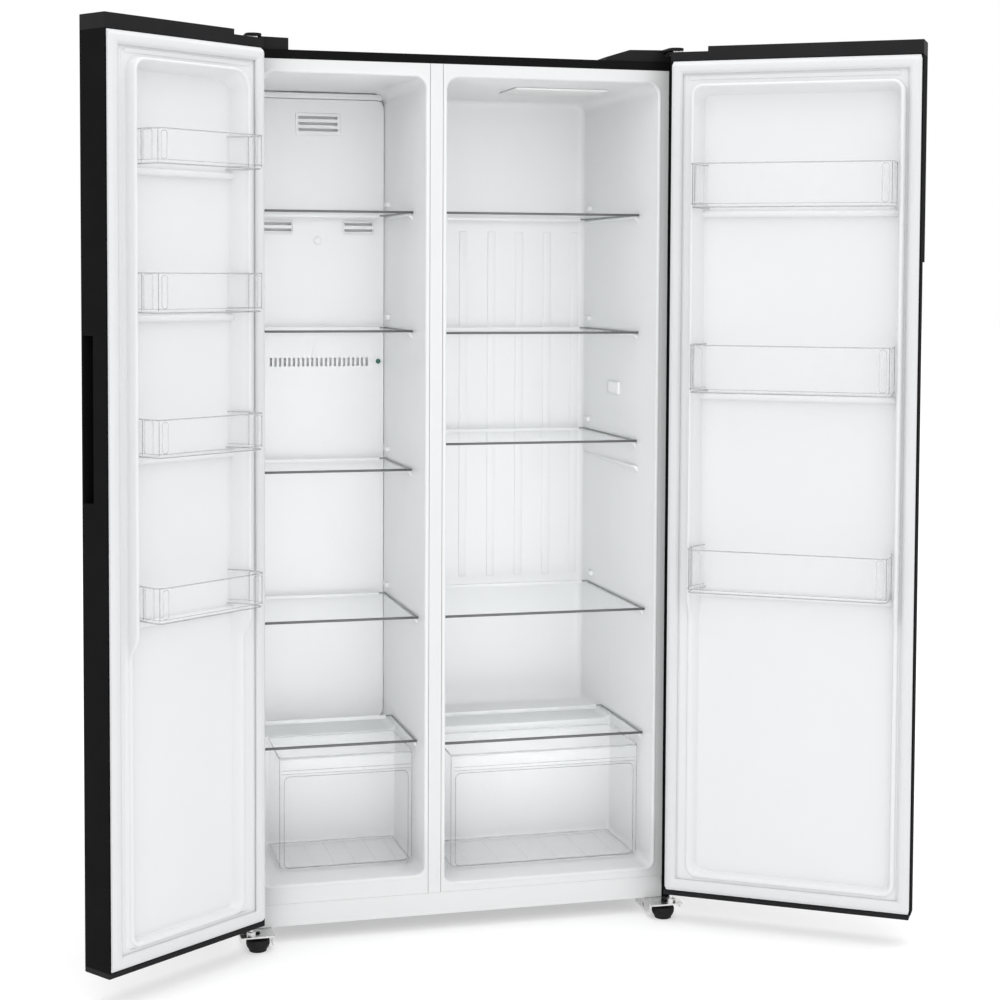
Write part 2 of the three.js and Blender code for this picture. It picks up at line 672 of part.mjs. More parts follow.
function hingeCover(name, hand) {
  const tail = hand > 0 ? 50 : 0; // the right cover runs out in a long slope
  const inner = hand > 0 ? 342 : 352;
  const floor = CASE_TOP + GAP;
  const skin = 3;
  const turned = (points) => (hand > 0 ? points : points.map(([x, z]) => [-x, z]).reverse());
  const profile = turned([
    [inner - tail, floor],
    [HALF - 1, floor],
    [HALF - 1, COVER_TOP - 4],
    [HALF - 5, COVER_TOP],
    [inner, COVER_TOP - 2],
    [inner - tail, floor + 7],
  ]);
  const sx = (a, b) => mirrored(hand, a, b);
  const noseRadius = 15.5;
  const noseX = hand * (PIN.x - 7);
  const noseZ = (SEAT_Z + 4 + COVER_TOP) / 2;
  const shell = join(
    prismY(profile, 4, 112),
    box(...sx(410, 441), PIN.y, 6, SEAT_Z + 5, COVER_TOP - 1),
    rod("z", noseX, PIN.y, noseZ, COVER_TOP - SEAT_Z - 6, noseRadius, noseRadius, 24),
  );
  const hollow = box(...sx(inner + skin + 1, HALF - skin), 7, 109, floor - 1, COVER_TOP - 5);
  const armSlot = box(...sx(416, HALF - skin), 0, 8, SEAT_Z - 1, SEAT_Z + 5);
  place(cabinet, `hinge_cover_${name}`, cut(shell, hollow, armSlot), LOOKS.blackPlastic);
}

function hinges() {
  for (const [name, hand] of Object.entries(HANDS)) {
    bottomHinge(name, hand);
    frontFoot(name, hand);
    topHinge(name, hand);
    hingeCover(name, hand);
  }
}

// ---- shelves and drawers ----
function shelf(side, { front, back, ...heights }, name) {
  const { x0, x1 } = OPENINGS[side];
  const z = heights[side];
  const rear = back[side];
  const at = (y) => [x0 + wallLean(y) + PANE_CLEARANCE, x1 - wallLean(y) - PANE_CLEARANCE];
  const [frontLeft, frontRight] = at(front);
  const [backLeft, backRight] = at(rear);
  const outline = [
    [frontLeft, front],
    [frontRight, front],
    [backRight, rear],
    [backLeft, rear],
  ];
  const [trimLeft, trimRight] = at(front + 10);
  const trimTop = z + SHELF_THICKNESS + 0.4;
  const trim = box(trimLeft, trimRight, front - 3, front + 9, trimTop - SHELF_TRIM, trimTop);
  const reach = LINER_DRAFT / 2 + LEDGE_WIDTH + 0.8; // the trim stops short of the ledges
  const notches = [
    box(x0 - 5, x0 + reach, 0, rear + 5, z - 20, z),
    box(x1 - reach, x1 + 5, 0, rear + 5, z - 20, z),
  ];
  const pane = prismZ(outline, z, z + SHELF_THICKNESS);
  place(cabinet, name, join(pane, cut(trim, ...notches)), LOOKS.glass);
}

function shelves() {
  for (const side of SIDES)
    SHELVES.forEach((level, i) => shelf(side, level, `${side}_shelf_${i + 1}`));
}

function drawers() {
  const wall = 2.5;
  const taperIn = 3; // the back is this much narrower on each side
  const lipHeight = 34;
  for (const [name, { x0, x1, y0, y1, z0, top }] of Object.entries(DRAWERS)) {
    const face = { x0, x1, z0, z1: top };
    const back = { ...face, x0: x0 + taperIn, x1: x1 - taperIn };
    const tub = taper(face, y0, back, y1, 6);
    const lip = box(x0 + 2, x1 - 2, y0 - 7, y0 + 6, top - lipHeight, top - 1);
    const fingerGroove = box(x0 + 8, x1 - 8, y0 - 4, y0 - 0.5, top - lipHeight - 2, top - 6);
    const side = wall + taperIn;
    const hollow = box(x0 + side, x1 - side, y0 + wall, y1 - wall, z0 + wall, top + 1);
    place(cabinet, name, cut(join(tub, lip), hollow, fingerGroove), LOOKS.clear);
  }
}

// ---- doors ----
function doorFrame(side) {
  const door = DOORS[side];
  const width = door.x1 - door.x0;
  const hingeX = door.hinge < 0 ? door.x0 : door.x1;
  const at = (u) => hingeX - door.hinge * u; // u runs from the hinge side to the free edge
  const span = (u0, u1) => [Math.min(at(u0), at(u1)), Math.max(at(u0), at(u1))];
  const ux = (u0, u1, ...rest) => box(...span(u0, u1), ...rest);
  const outline = (points, z0, z1) => {
    const turned = points.map(([u, y]) => [at(u), y]);
    return prismZ(door.hinge < 0 ? turned : turned.reverse(), z0, z1);
  };
  const rect = (u0, u1, z0, z1) => {
    const [x0, x1] = span(u0, u1);
    return { x0, x1, z0, z1 };
  };
  const pin = { x: at(PIN_INSET), y: -PIN_FORWARD };
  const swing = new THREE.Group();
  swing.position.set(pin.x, pin.y, 0);
  swing.rotation.z = THREE.MathUtils.degToRad(door.hinge * door.open);
  const group = new THREE.Group();
  group.position.set(-pin.x, -pin.y, 0);
  swing.add(group);
  cabinet.add(swing);
  return { side, width, at, span, ux, outline, rect, pin, group };
}

const FACE = -DOOR_GAP; // y of a closed door's inner face
const FRONT = FACE - DOOR_THICKNESS;
const SKIN_LOW = DOOR_BOTTOM + BOTTOM_CAP;
const SKIN_HIGH = DOOR_TOP - TOP_CAP;

// Rounded plan outline of a door, its inner side left square.
function planOutline(u0, u1, y0, y1, hingeRound, freeRound, steps = 4) {
  const points = [[u0, y1]];
  for (let i = 0; i <= steps; i++) {
    const a = Math.PI + (Math.PI / 2) * (i / steps);
    points.push([u0 + hingeRound + hingeRound * Math.cos(a), y0 + hingeRound + hingeRound * Math.sin(a)]);
  }
  for (let i = 0; i <= steps; i++) {
    const a = 1.5 * Math.PI + (Math.PI / 2) * (i / steps);
    points.push([u1 - freeRound + freeRound * Math.cos(a), y0 + freeRound + freeRound * Math.sin(a)]);
  }
  points.push([u1, y1]);
  return points;
}

// Plan of a door body moved in by d.
const doorPlan = (width, y1, d) =>
  planOutline(d, width - d, FRONT + d, y1, HINGE_ROUND - d, FREE_ROUND - d);

function doorShell(f) {
  const w = f.width;
  const stepped = f.side === "fridge";
  const low = stepped ? w - GRIP_STEP : w;
  const s = SHEET;
  const split = FACE - 33; // the full width inner half starts here
  // The outside for d = 0, the hollow inside it for d = SHEET.
  const body = (d, freeEdgeLow) => {
    const open = d ? 1 : 0; // the hollow runs out of both ends and of the inner side
    const z0 = SKIN_LOW + GAP - open;
    const z1 = SKIN_HIGH - GAP + open;
    return join(
      f.outline(planOutline(d, w - d, split - 1, FACE + open, 1, 1, 1), z0, z1),
      f.outline(doorPlan(low, split, d), z0, z1),
      f.outline(doorPlan(w, split, d), freeEdgeLow, z1),
    );
  };
  const outside = body(0, stepped ? GRIP_STEP_TOP : SKIN_LOW + GAP);
  const inside = body(s, stepped ? GRIP_STEP_TOP + s : SKIN_LOW + GAP - 1);
  const folds = [
    f.ux(0, EDGE - GAP, FACE - s, FACE, SKIN_LOW + GAP, SKIN_HIGH - GAP),
    f.ux(w - EDGE + GAP, w, FACE - s, FACE, SKIN_LOW + GAP, SKIN_HIGH - GAP),
  ];
  const { depth, y0, y1, z0, z1 } = GRIP;
  const pocket = f.ux(w - depth - s, low - 0.2, y0 - s, y1 + s, z0 - s, z1 + s);
  const hole = f.ux(w - depth, w + 1, y0, y1, z0, z1);
  const shell = join(cut(outside, inside), ...folds, pocket);
  place(f.group, `${f.side}_door_shell`, cut(shell, hole), LOOKS.black);
}

function doorCaps(f) {
  const w = f.width;
  const s = f.side === "fridge" ? GRIP_STEP : 0;
  const bore = (z) => rod("z", f.pin.x, f.pin.y, z, 60, PIN_BORE);
  const top = cut(
    f.outline(doorPlan(w, FACE, 0), SKIN_HIGH, DOOR_TOP),
    f.ux(-1, 75, FRONT - 1, FACE + 1, SEAT_Z, DOOR_TOP + 1),
    bore(SEAT_Z),
  );
  const bottom = cut(f.outline(doorPlan(w - s, FACE, 0), DOOR_BOTTOM, SKIN_LOW), bore(SKIN_LOW));
  place(f.group, `${f.side}_door_top_cap`, top, LOOKS.blackPlastic);
  place(f.group, `${f.side}_door_bottom_cap`, bottom, LOOKS.blackPlastic);
}

function dikeRects(f) {
  const dike = DIKES[f.side];
  const u0 = dike.hingeInset;
  const u1 = f.width - dike.freeInset;
  return {
    u0,
    u1,
    crest: (d, z0) => f.rect(u0 + d, u1 - d, z0 + d, dike.top - d),
    mouth: f.rect(u0 + CREST_IN, u1 - CREST_IN, dike.bottom + CREST_IN, dike.top - CREST_IN - 6),
    floor: f.rect(
      u0 + CREST_IN + FLOOR_INSET.hinge,
      u1 - CREST_IN - FLOOR_INSET.free,
      dike.bottom + CREST_IN + FLOOR_INSET.bottom,
      dike.top - CREST_IN - 6 - FLOOR_INSET.top,
    ),
    bottom: dike.bottom,
  };
}

// The recess that the bins stand in, grown by d into the door.
function recessVolume(f, d) {
  const { mouth, floor } = dikeRects(f);
  return taper(grown(mouth, d), FACE + CREST + 1, grown(floor, d), FACE - RECESS - d, 14 + d, 12 + d);
}

// Everything on the foam side of the liner's inner surface, moved back by d.
function linerFill(f, d) {
  const { crest, bottom } = dikeRects(f);
  const edge = d ? -3 : EDGE;
  const open = d ? 2 : 0;
  const z0 = SKIN_LOW + GAP - open;
  const slab = f.ux(edge, f.width - edge, FRONT + 4, FACE - d, z0, SKIN_HIGH - GAP + open);
  const upper = taper(
    crest(d - 3, DIKE_SPLIT - RAMP / 2),
    FACE - 1 - d,
    crest(d, DIKE_SPLIT + RAMP / 2),
    FACE + CREST - d,
    18,
  );
  const lower = taper(crest(d - 2, bottom - 2), FACE - 1 - d, crest(d, bottom), FACE + LOW_CREST - d, 18);
  return cut(join(slab, upper, lower), recessVolume(f, d));
}

function doorLiner(f) {
  const { u0, u1 } = dikeRects(f);
  const sheet = cut(linerFill(f, 0), linerFill(f, SKIN));
  const floor = FACE - RECESS - 1;
  const { drop, height, setBack } = LEDGE_UNDER_BIN;
  const ribs = BINS[f.side].map(([z]) => {
    const low = z - drop;
    return f.ux(u0, u1, floor, FACE - setBack, low, low + height);
  });
  const low = LOW_RIBS;
  for (let i = 0; i < low.count; i++) {
    const z = low.first + i * low.pitch;
    ribs.push(f.ux(u0 + low.hinge, u1 - low.free, floor, floor + 2.5, z, z + low.height));
  }
  const moulded = join(...ribs).intersect(recessVolume(f, 1));
  place(f.group, `${f.side}_door_liner`, join(sheet, moulded), LOOKS.white);
}

function doorFoam(f) {
  const w = f.width;
  const d = FOAM_INSET;
  const stepped = f.side === "fridge" ? GRIP_STEP : 0;
  const block = f.outline(
    doorPlan(w - stepped, FACE - d, SHEET + GAP),
    SKIN_LOW + 2 * GAP,
    SKIN_HIGH - 2 * GAP,
  );
  const { depth, y0, y1, z0, z1 } = GRIP;
  const pocket = f.ux(w - depth - SHEET - GAP, w + 1, y0 - 2, y1 + 2, z0 - 2, z1 + 2);
  const { crest } = dikeRects(f);
  const split = DIKE_SPLIT + 3;
  const upper = taper(
    crest(d - 2.9, split - RAMP / 2),
    FACE - d - 1,
    crest(d, split + RAMP / 2),
    FACE + CREST - d,
    18,
  );
  const bush = 7; // radius kept clear round the hinge pins
  const foam = cut(
    join(block, upper),
    recessVolume(f, d),
    pocket,
    rod("z", f.pin.x, f.pin.y, SKIN_LOW, 30, bush),
    rod("z", f.pin.x, f.pin.y, SKIN_HIGH, 30, bush),
    f.ux(-1, EDGE + GAP, FACE - d, FACE + 1, 0, DOOR_TOP),
  );
  place(f.group, `${f.side}_door_foam`, foam, LOOKS.foam);
}

function doorGasket(f) {
  const width = 24;
  const root = 2.5; // from the edges of the door
  const crown = 5;
  const back = FACE + GAP;
  const front = -0.6; // just clear of the closed cabinet
  const outline = (d) => f.rect(d, f.width - d, SKIN_LOW + d, SKIN_HIGH - d);
  const bellows = taper(outline(root), back, outline(crown), front, 5);
  const inner = outline(root + width);
  const hole = box(inner.x0, inner.x1, back - 1, front + 1, inner.z0, inner.z1);
  place(f.group, `${f.side}_door_gasket`, cut(bellows, hole), LOOKS.rubber);
}

// A convex plan outline moved in by d.
function inset(points, d) {
  const n = points.length;
  const side = points.reduce((sum, [ax, ay], i) => {
    const [bx, by] = points[(i + 1) % n];
    return sum + ax * by - bx * ay;
  }, 0);
  const sign = Math.sign(side);
  const lines = points.map(([ax, ay], i) => {
    const [bx, by] = points[(i + 1) % n];
    const length = Math.hypot(bx - ax, by - ay);
    const nx = (-(by - ay) / length) * sign;
    const ny = ((bx - ax) / length) * sign;
    return { px: ax + nx * d, py: ay + ny * d, dx: bx - ax, dy: by - ay };
  });
  return lines.map((line, i) => {
    const before = lines[(i + n - 1) % n];
    const det = before.dx * line.dy - before.dy * line.dx;
    const t = ((line.px - before.px) * line.dy - (line.py - before.py) * line.dx) / det;
    return [before.px + before.dx * t, before.py + before.dy * t];
  });
}

function doorBins(f) {
  const { u0, u1 } = dikeRects(f);
  const wall = 2.4;
  const play = 2; // between a bin and the liner
  const chamfer = { u: 10, v: 8 };
  const a = u0 + CREST_IN + play;
  const b = u1 - CREST_IN - play;
  const back = FACE - RECESS + play;
  const front = FACE + BIN_FRONT;
  const plan = [
    [a, FACE + CREST],
    [a + FLOOR_INSET.hinge + 1, back],
    [b - FLOOR_INSET.free - 1, back],
    [b, FACE + CREST],
    [b, front - chamfer.v],
    [b - chamfer.u, front],
    [a + chamfer.u, front],
    [a, front - chamfer.v],
  ];
  BINS[f.side].forEach(([z0, z1], i) => {
    const bin = cut(f.outline(plan, z0, z1), f.outline(inset(plan, wall), z0 + wall, z1 + 1));
    place(f.group, `${f.side}_door_bin_${i + 1}`, bin, LOOKS.clear);
  });
}

function doors() {
  for (const side of SIDES) {
    const f = doorFrame(side);
    doorShell(f);
    doorCaps(f);
    doorLiner(f);
    doorFoam(f);
    doorGasket(f);
    doorBins(f);
  }
}

outerCase();
frontFrame();
liners();
cabinetFoam();
backPanel();
baseFrame();
rearRollers();
fridgeLamp();
evaporatorCover();
evaporator();
evaporatorFan();
compressor();
condenser();
condenserFan();
drainPan();
machineBayCover();
hinges();
shelves();
drawers();
doors();

export default refrigerator;
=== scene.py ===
"""Side by side refrigerator with both doors open: the looks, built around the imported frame."""

import json
import math

import bmesh
import bpy
from mathutils import Matrix, Vector


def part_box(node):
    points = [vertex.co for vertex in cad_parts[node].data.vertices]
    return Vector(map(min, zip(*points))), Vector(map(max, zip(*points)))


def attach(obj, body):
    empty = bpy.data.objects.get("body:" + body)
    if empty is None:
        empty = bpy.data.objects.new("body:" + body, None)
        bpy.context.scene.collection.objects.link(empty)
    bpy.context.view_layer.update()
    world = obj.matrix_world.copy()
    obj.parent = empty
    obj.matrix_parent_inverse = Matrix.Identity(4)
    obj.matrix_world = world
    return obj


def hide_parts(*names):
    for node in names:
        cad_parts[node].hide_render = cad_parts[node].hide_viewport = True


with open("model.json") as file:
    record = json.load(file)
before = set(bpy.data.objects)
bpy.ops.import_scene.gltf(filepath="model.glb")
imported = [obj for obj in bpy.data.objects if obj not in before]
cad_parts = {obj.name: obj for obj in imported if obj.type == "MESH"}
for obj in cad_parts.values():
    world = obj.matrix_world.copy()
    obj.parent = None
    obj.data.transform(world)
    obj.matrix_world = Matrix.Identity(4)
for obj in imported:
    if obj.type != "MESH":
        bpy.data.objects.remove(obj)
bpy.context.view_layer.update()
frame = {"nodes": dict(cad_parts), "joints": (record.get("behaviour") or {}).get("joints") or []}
nodes = frame["nodes"]
joints = {joint["name"]: joint for joint in frame["joints"]}
MM = 0.001
SIDES = ("freezer", "fridge")
BINS = {"freezer": 4, "fridge": 3}
SHELVES = 5

# ---------------------------------------------------------------- mesh tools


def linked(name, data):
    """A new object in the scene."""
    piece = bpy.data.objects.new(name, data)
    bpy.context.scene.collection.objects.link(piece)
    return piece


class Shape:
    """Vertices and faces gathered from lofts, boxes and tubes, then made into one object."""

    def __init__(self, matrix=None):
        self.matrix = matrix or Matrix.Identity(4)
        self.verts, self.faces = [], []

    def add(self, verts, faces):
        start = len(self.verts)
        self.verts += [self.matrix @ Vector(v) for v in verts]
        self.faces += [[start + i for i in face] for face in faces]
        return self

    def loft(self, rings, caps=(True, True), cyclic=False):
        n = len(rings[0])
        verts = [v for ring in rings for v in ring]
        faces = []
        pairs = list(zip(range(len(rings) - 1), range(1, len(rings))))
        if cyclic:
            pairs.append((len(rings) - 1, 0))
        for a, b in pairs:
            for j in range(n):
                k = (j + 1) % n
                faces.append([a * n + j, a * n + k, b * n + k, b * n + j])
        if caps[0] and not cyclic:
            faces.append(list(range(n))[::-1])
        if caps[1] and not cyclic:
            faces.append([(len(rings) - 1) * n + j for j in range(n)])
        return self.add(verts, faces)

    def block(self, x, y, z, radius=0.0008, steps=2):
        """A box whose edges are rounded."""
        (x0, x1), (y0, y1), (z0, z1) = x, y, z
        r = min(radius, (x1 - x0) / 2.01, (y1 - y0) / 2.01, (z1 - z0) / 2.01)
        rings = []
        for i in range(steps + 1):
            a = math.pi / 2 * i / steps
            d, lift = r * (1 - math.sin(a)), r * (1 - math.cos(a))
            rings.append(round_rect(x0 + d, x1 - d, y0 + d, y1 - d, max(r - d, 1e-5), 3, z0 + lift))
        for ring in list(reversed(rings)):
            height = ring[0][2] - z0
            rings.append([(px, py, z1 - height) for px, py, _ in ring])
        return self.loft(rings)

    def bar(self, path, radius, sides=12):
        """A round bar along a path."""
        path = [Vector(p) for p in path]
        rings = []
        side = None
        for i, p in enumerate(path):
            ahead = (path[min(i + 1, len(path) - 1)] - path[max(i - 1, 0)]).normalized()
            if side is None:
                side = ahead.orthogonal().normalized()
            side = (side - ahead * side.dot(ahead)).normalized()
            up = ahead.cross(side)
            ring = []
            for k in range(sides):
                a = 2 * math.pi * k / sides
                ring.append(tuple(p + (side * math.cos(a) + up * math.sin(a)) * radius))
            rings.append(ring)
        return self.loft(rings)

    def lathe(self, profile, centre, axis="z", sides=32):
        """A profile of (radius, height) turned about the z or y axis through centre."""
        rings = []
        cx, cy, cz = centre
        for r, h in profile:
            ring = []
            for k in range(sides):
                a = 2 * math.pi * k / sides
                p, q = r * math.cos(a), r * math.sin(a)
                ring.append((cx + p, cy + q, cz + h) if axis == "z" else (cx + p, cy + h, cz + q))
            rings.append(ring)
        return self.loft(rings)

    def object(self, name, material, body, slot, replaces=(), smooth=32):
        mesh = bpy.data.meshes.new(name)
        bm = bmesh.new()
        made = [bm.verts.new(v) for v in self.verts]
        bm.verts.ensure_lookup_table()
        for face in self.faces:
            if len(set(face)) > 2:
                bm.faces.new([made[i] for i in face])
        bmesh.ops.remove_doubles(bm, verts=bm.verts, dist=1e-6)
        bmesh.ops.recalc_face_normals(bm, faces=bm.faces)
        bm.to_mesh(mesh)
        bm.free()
        smooth_faces(mesh, smooth)
        mesh.materials.append(material)
        piece = linked(name, mesh)
        piece.visible_shadow = material.name not in LETS_LIGHT_THROUGH
        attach(piece, body)
        if replaces:
            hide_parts(*replaces)


def smooth_faces(mesh, degrees):
    mesh.shade_smooth()
    mesh.set_sharp_from_angle(angle=math.radians(degrees))


def round_rect(a0, a1, b0, b1, radius, corner=6, z=None, sides=(1, 1)):
    """A rounded rectangle as (a, b) points, or (a, b, z) when z is given; its sides can be divided.

    radius is one number, or four from the corner of the high a and high b round by the low a.
    """
    r = list(radius) if isinstance(radius, (list, tuple)) else [radius] * 4
    centres = ((a1 - r[0], b1 - r[0], 0), (a0 + r[1], b1 - r[1], 90),
               (a0 + r[2], b0 + r[2], 180), (a1 - r[3], b0 + r[3], 270))
    points = []
    for index, (ca, cb, start) in enumerate(centres):
        for i in range(corner + 1):
            t = math.radians(start + 90 * i / corner)
            points.append((ca + r[index] * math.cos(t), cb + r[index] * math.sin(t)))
        following = (index + 1) % 4
        na, nb, _ = centres[following]
        count = sides[index % 2]
        end = math.radians(start + 90)
        first = (ca + r[index] * math.cos(end), cb + r[index] * math.sin(end))
        last = (na + r[following] * math.cos(end), nb + r[following] * math.sin(end))
        for i in range(1, count):
            t = i / count
            points.append(tuple(p + (q - p) * t for p, q in zip(first, last)))
    return points if z is None else [(a, b, z) for a, b in points]


def arc(steps, start=0.0, end=math.pi / 2):
    return [start + (end - start) * i / steps for i in range(steps + 1)]


def smoothstep(t):
    t = min(max(t, 0.0), 1.0)
    return t * t * (3 - 2 * t)


# ---------------------------------------------------------------- materials


def noise_value(tree, scale, detail, low, high, coords, stretch=(1, 1, 1)):
    """A noise texture mapped from low to high."""
    mapping = tree.nodes.new("ShaderNodeMapping")
    mapping.inputs["Scale"].default_value = stretch
    noise = tree.nodes.new("ShaderNodeTexNoise")
    noise.inputs["Scale"].default_value = scale
    noise.inputs["Detail"].default_value = detail
    spread = tree.nodes.new("ShaderNodeMapRange")
    spread.inputs["From Min"].default_value = 0.3
    spread.inputs["From Max"].default_value = 0.7
    spread.inputs["To Min"].default_value = low
    spread.inputs["To Max"].default_value = high
    tree.links.new(coords, mapping.inputs["Vector"])
    tree.links.new(mapping.outputs["Vector"], noise.inputs["Vector"])
    tree.links.new(noise.outputs["Fac"], spread.inputs["Value"])
    return spread.outputs["Result"]


def look(name, color, roughness, metallic=0.0, specular=0.5, shade=0.06, spread=0.08, mottle=14,
         grain=900, bump=0.02, stretch=(1, 1, 1), alpha=1.0, coat=0.0, spangle=0.0):
    """A moulded, painted or plated surface: broad tone and gloss drift with a fine surface texture."""
    material = bpy.data.materials.new(name)
    material.use_nodes = True
    tree = material.node_tree
    shader = tree.nodes["Principled BSDF"]
    coords = tree.nodes.new("ShaderNodeTexCoord").outputs["Object"]
    tone = noise_value(tree, mottle, 3, 0.0, 1.0, coords)
    if spangle:
        cells = tree.nodes.new("ShaderNodeTexVoronoi")
        cells.inputs["Scale"].default_value = spangle
        tree.links.new(coords, cells.inputs["Vector"])
        tone = cells.outputs["Color"]
    mix = tree.nodes.new("ShaderNodeMix")
    mix.data_type = "RGBA"
    mix.inputs["A"].default_value = (*[c * (1 - shade) for c in color], 1)
    mix.inputs["B"].default_value = (*[min(c * (1 + shade), 1) for c in color], 1)
    tree.links.new(tone, mix.inputs["Factor"])
    tree.links.new(mix.outputs["Result"], shader.inputs["Base Color"])
    gloss = noise_value(tree, mottle * 1.7, 4, roughness * (1 - spread), roughness * (1 + spread),
                        coords)
    tree.links.new(gloss, shader.inputs["Roughness"])
    texture = noise_value(tree, grain, 2, 0.0, 1.0, coords, stretch)
    relief = tree.nodes.new("ShaderNodeBump")
    relief.inputs["Strength"].default_value = bump
    relief.inputs["Distance"].default_value = 0.0005
    tree.links.new(texture, relief.inputs["Height"])
    tree.links.new(relief.outputs["Normal"], shader.inputs["Normal"])
    shader.inputs["Metallic"].default_value = metallic
    shader.inputs["Specular IOR Level"].default_value = specular
    shader.inputs["Coat Weight"].default_value = coat
    shader.inputs["Coat Roughness"].default_value = 0.3
    shader.inputs["Alpha"].default_value = alpha
    return material


LOOKS = {
    "steel": look("black_coated_steel", (0.008, 0.008, 0.0085), 0.46, specular=0.0, coat=0.045,
                  shade=0.1, grain=1400, bump=0.05),
    "black": look("black_moulded_plastic", (0.015, 0.015, 0.016), 0.5, specular=0.0, coat=0.2,
                  shade=0.12, grain=2600, bump=0.12),
    "white": look("white_liner_plastic", (0.745, 0.752, 0.758), 0.34, specular=0.36, shade=0.006,
                  spread=0.06, mottle=6, grain=420, bump=0.02),
    "frame": look("white_coated_steel", (0.735, 0.74, 0.745), 0.36, specular=0.3, shade=0.01,
                  mottle=5, grain=700, bump=0.03),
    "glass": look("shelf_glass", (0.80, 0.85, 0.845), 0.04, specular=0.5, shade=0.01, bump=0.0,
                  alpha=0.10),
    "glass_edge": look("shelf_glass_edge", (0.24, 0.26, 0.255), 0.2, specular=0.5, shade=0.05,
                       grain=1500, bump=0.05, alpha=0.7),
    "trim": look("grey_shelf_trim", (0.085, 0.087, 0.09), 0.36, specular=0.35, shade=0.05, bump=0.03),
    "clear": look("clear_polystyrene", (0.80, 0.815, 0.825), 0.1, specular=0.4, shade=0.02,
                  mottle=9, grain=500, bump=0.004, alpha=0.05),
    # The edge look paints refraction: a greyer, less clear copy of the clear plastic for thick rims,
    # hooks and clips stands for light bent at thick clear edges.
    "clear_rim_painted_refraction": look("clear_polystyrene_edge_painted_refraction", (0.60, 0.615, 0.62), 0.16, specular=0.6, shade=0.05,
                      mottle=30, bump=0.01, alpha=0.42),
    # The line look paints refraction: thin dark grey bars on the corners, rims and frames of clear bins
    # and drawers stand for the dark lines that light bent in clear walls shows.
    "painted_refraction_line": look("clear_polystyrene_painted_refraction_line", (0.13, 0.135, 0.138), 0.2, specular=0.4, shade=0.08,
                       mottle=30, bump=0.01, alpha=0.5),
    "rubber": look("gasket_vinyl", (0.69, 0.695, 0.705), 0.55, specular=0.3, shade=0.008,
                   spread=0.04, mottle=8, grain=1200, bump=0.03),
    "zinc": look("bright_zinc_plate", (0.74, 0.74, 0.735), 0.27, metallic=1.0, shade=0.1,
                 spread=0.35, mottle=60, grain=900, bump=0.06),
    "galvanised": look("galvanised_sheet", (0.27, 0.275, 0.285), 0.4, metallic=0.85, shade=0.16,
                       spread=0.2, mottle=40, bump=0.03, spangle=60),
    "copper": look("copper_tube", (0.62, 0.31, 0.18), 0.33, metallic=1.0, shade=0.15,
                   spread=0.3, mottle=40, bump=0.05),
    "aluminium": look("mill_aluminium", (0.74, 0.75, 0.76), 0.36, metallic=1.0, shade=0.06,
                      stretch=(1, 1, 12), bump=0.08),
    "foam": look("rigid_foam", (0.72, 0.63, 0.38), 0.85, shade=0.12, mottle=45, grain=320, bump=0.5),
    "compressor": look("black_stove_enamel", (0.012, 0.012, 0.012), 0.36, specular=0.5, shade=0.1,
                       mottle=25, grain=700, bump=0.12),
    "lamp": look("lamp_diffuser", (0.76, 0.765, 0.76), 0.38, specular=0.5, shade=0.02, mottle=30,
                 grain=260, bump=0.1),
    "green": look("green_plug", (0.02, 0.11, 0.075), 0.5, shade=0.1, bump=0.05),
    "screw": look("screw_steel", (0.45, 0.45, 0.46), 0.34, metallic=1.0, shade=0.1, spread=0.3,
                  mottle=300, bump=0.05),
}

LETS_LIGHT_THROUGH = ("shelf_glass", "clear_polystyrene")    # looks whose pieces cast no shadow

CAD_LOOKS = {
    "steel": ["outer_case", "freezer_door_shell", "fridge_door_shell"],
    "black": ["freezer_door_top_cap", "freezer_door_bottom_cap", "fridge_door_top_cap",
              "fridge_door_bottom_cap", "hinge_cover_left", "hinge_cover_right",
              "rear_roller_left", "rear_roller_right", "evaporator_fan", "condenser_fan"],
    "frame": ["kick_plate"],
    "white": ["evaporator_cover", "drain_pan"],
    "foam": ["cabinet_foam"],
    "galvanised": ["back_panel", "base_frame", "machine_bay_cover", "evaporator_fan_motor",
                   "condenser_fan_motor"],
    "zinc": ["bottom_hinge_left", "bottom_hinge_right", "top_hinge_left", "top_hinge_right"],
    "copper": ["condenser_coil"],
    "aluminium": ["evaporator"],
    "compressor": ["compressor"],
}
NO_EDGE_ROUNDING = {"cabinet_foam", "condenser_coil", "evaporator", "compressor"}


def dress_cad_nodes():
    """Materials for the CAD nodes that stay, with their long edges rounded by a modifier."""
    for key, names in CAD_LOOKS.items():
        for name in names:
            node = nodes[name]
            node.data.materials.clear()
            node.data.materials.append(LOOKS[key])
            weld = node.modifiers.new("weld", "WELD")
            weld.merge_threshold = 0.002 * MM
            if name not in NO_EDGE_ROUNDING:
                bevel = node.modifiers.new("edge", "BEVEL")
                bevel.width = 0.5 * MM if key in ("galvanised", "steel") else 0.8 * MM
                bevel.segments = 2
                bevel.limit_method = "ANGLE"
                bevel.angle_limit = math.radians(40)
                bevel.use_clamp_overlap = True
            node.data.shade_smooth()
            by_angle = node.modifiers.new("normals", "WEIGHTED_NORMAL")
            by_angle.keep_sharp = True


# ---------------------------------------------------------------- doors

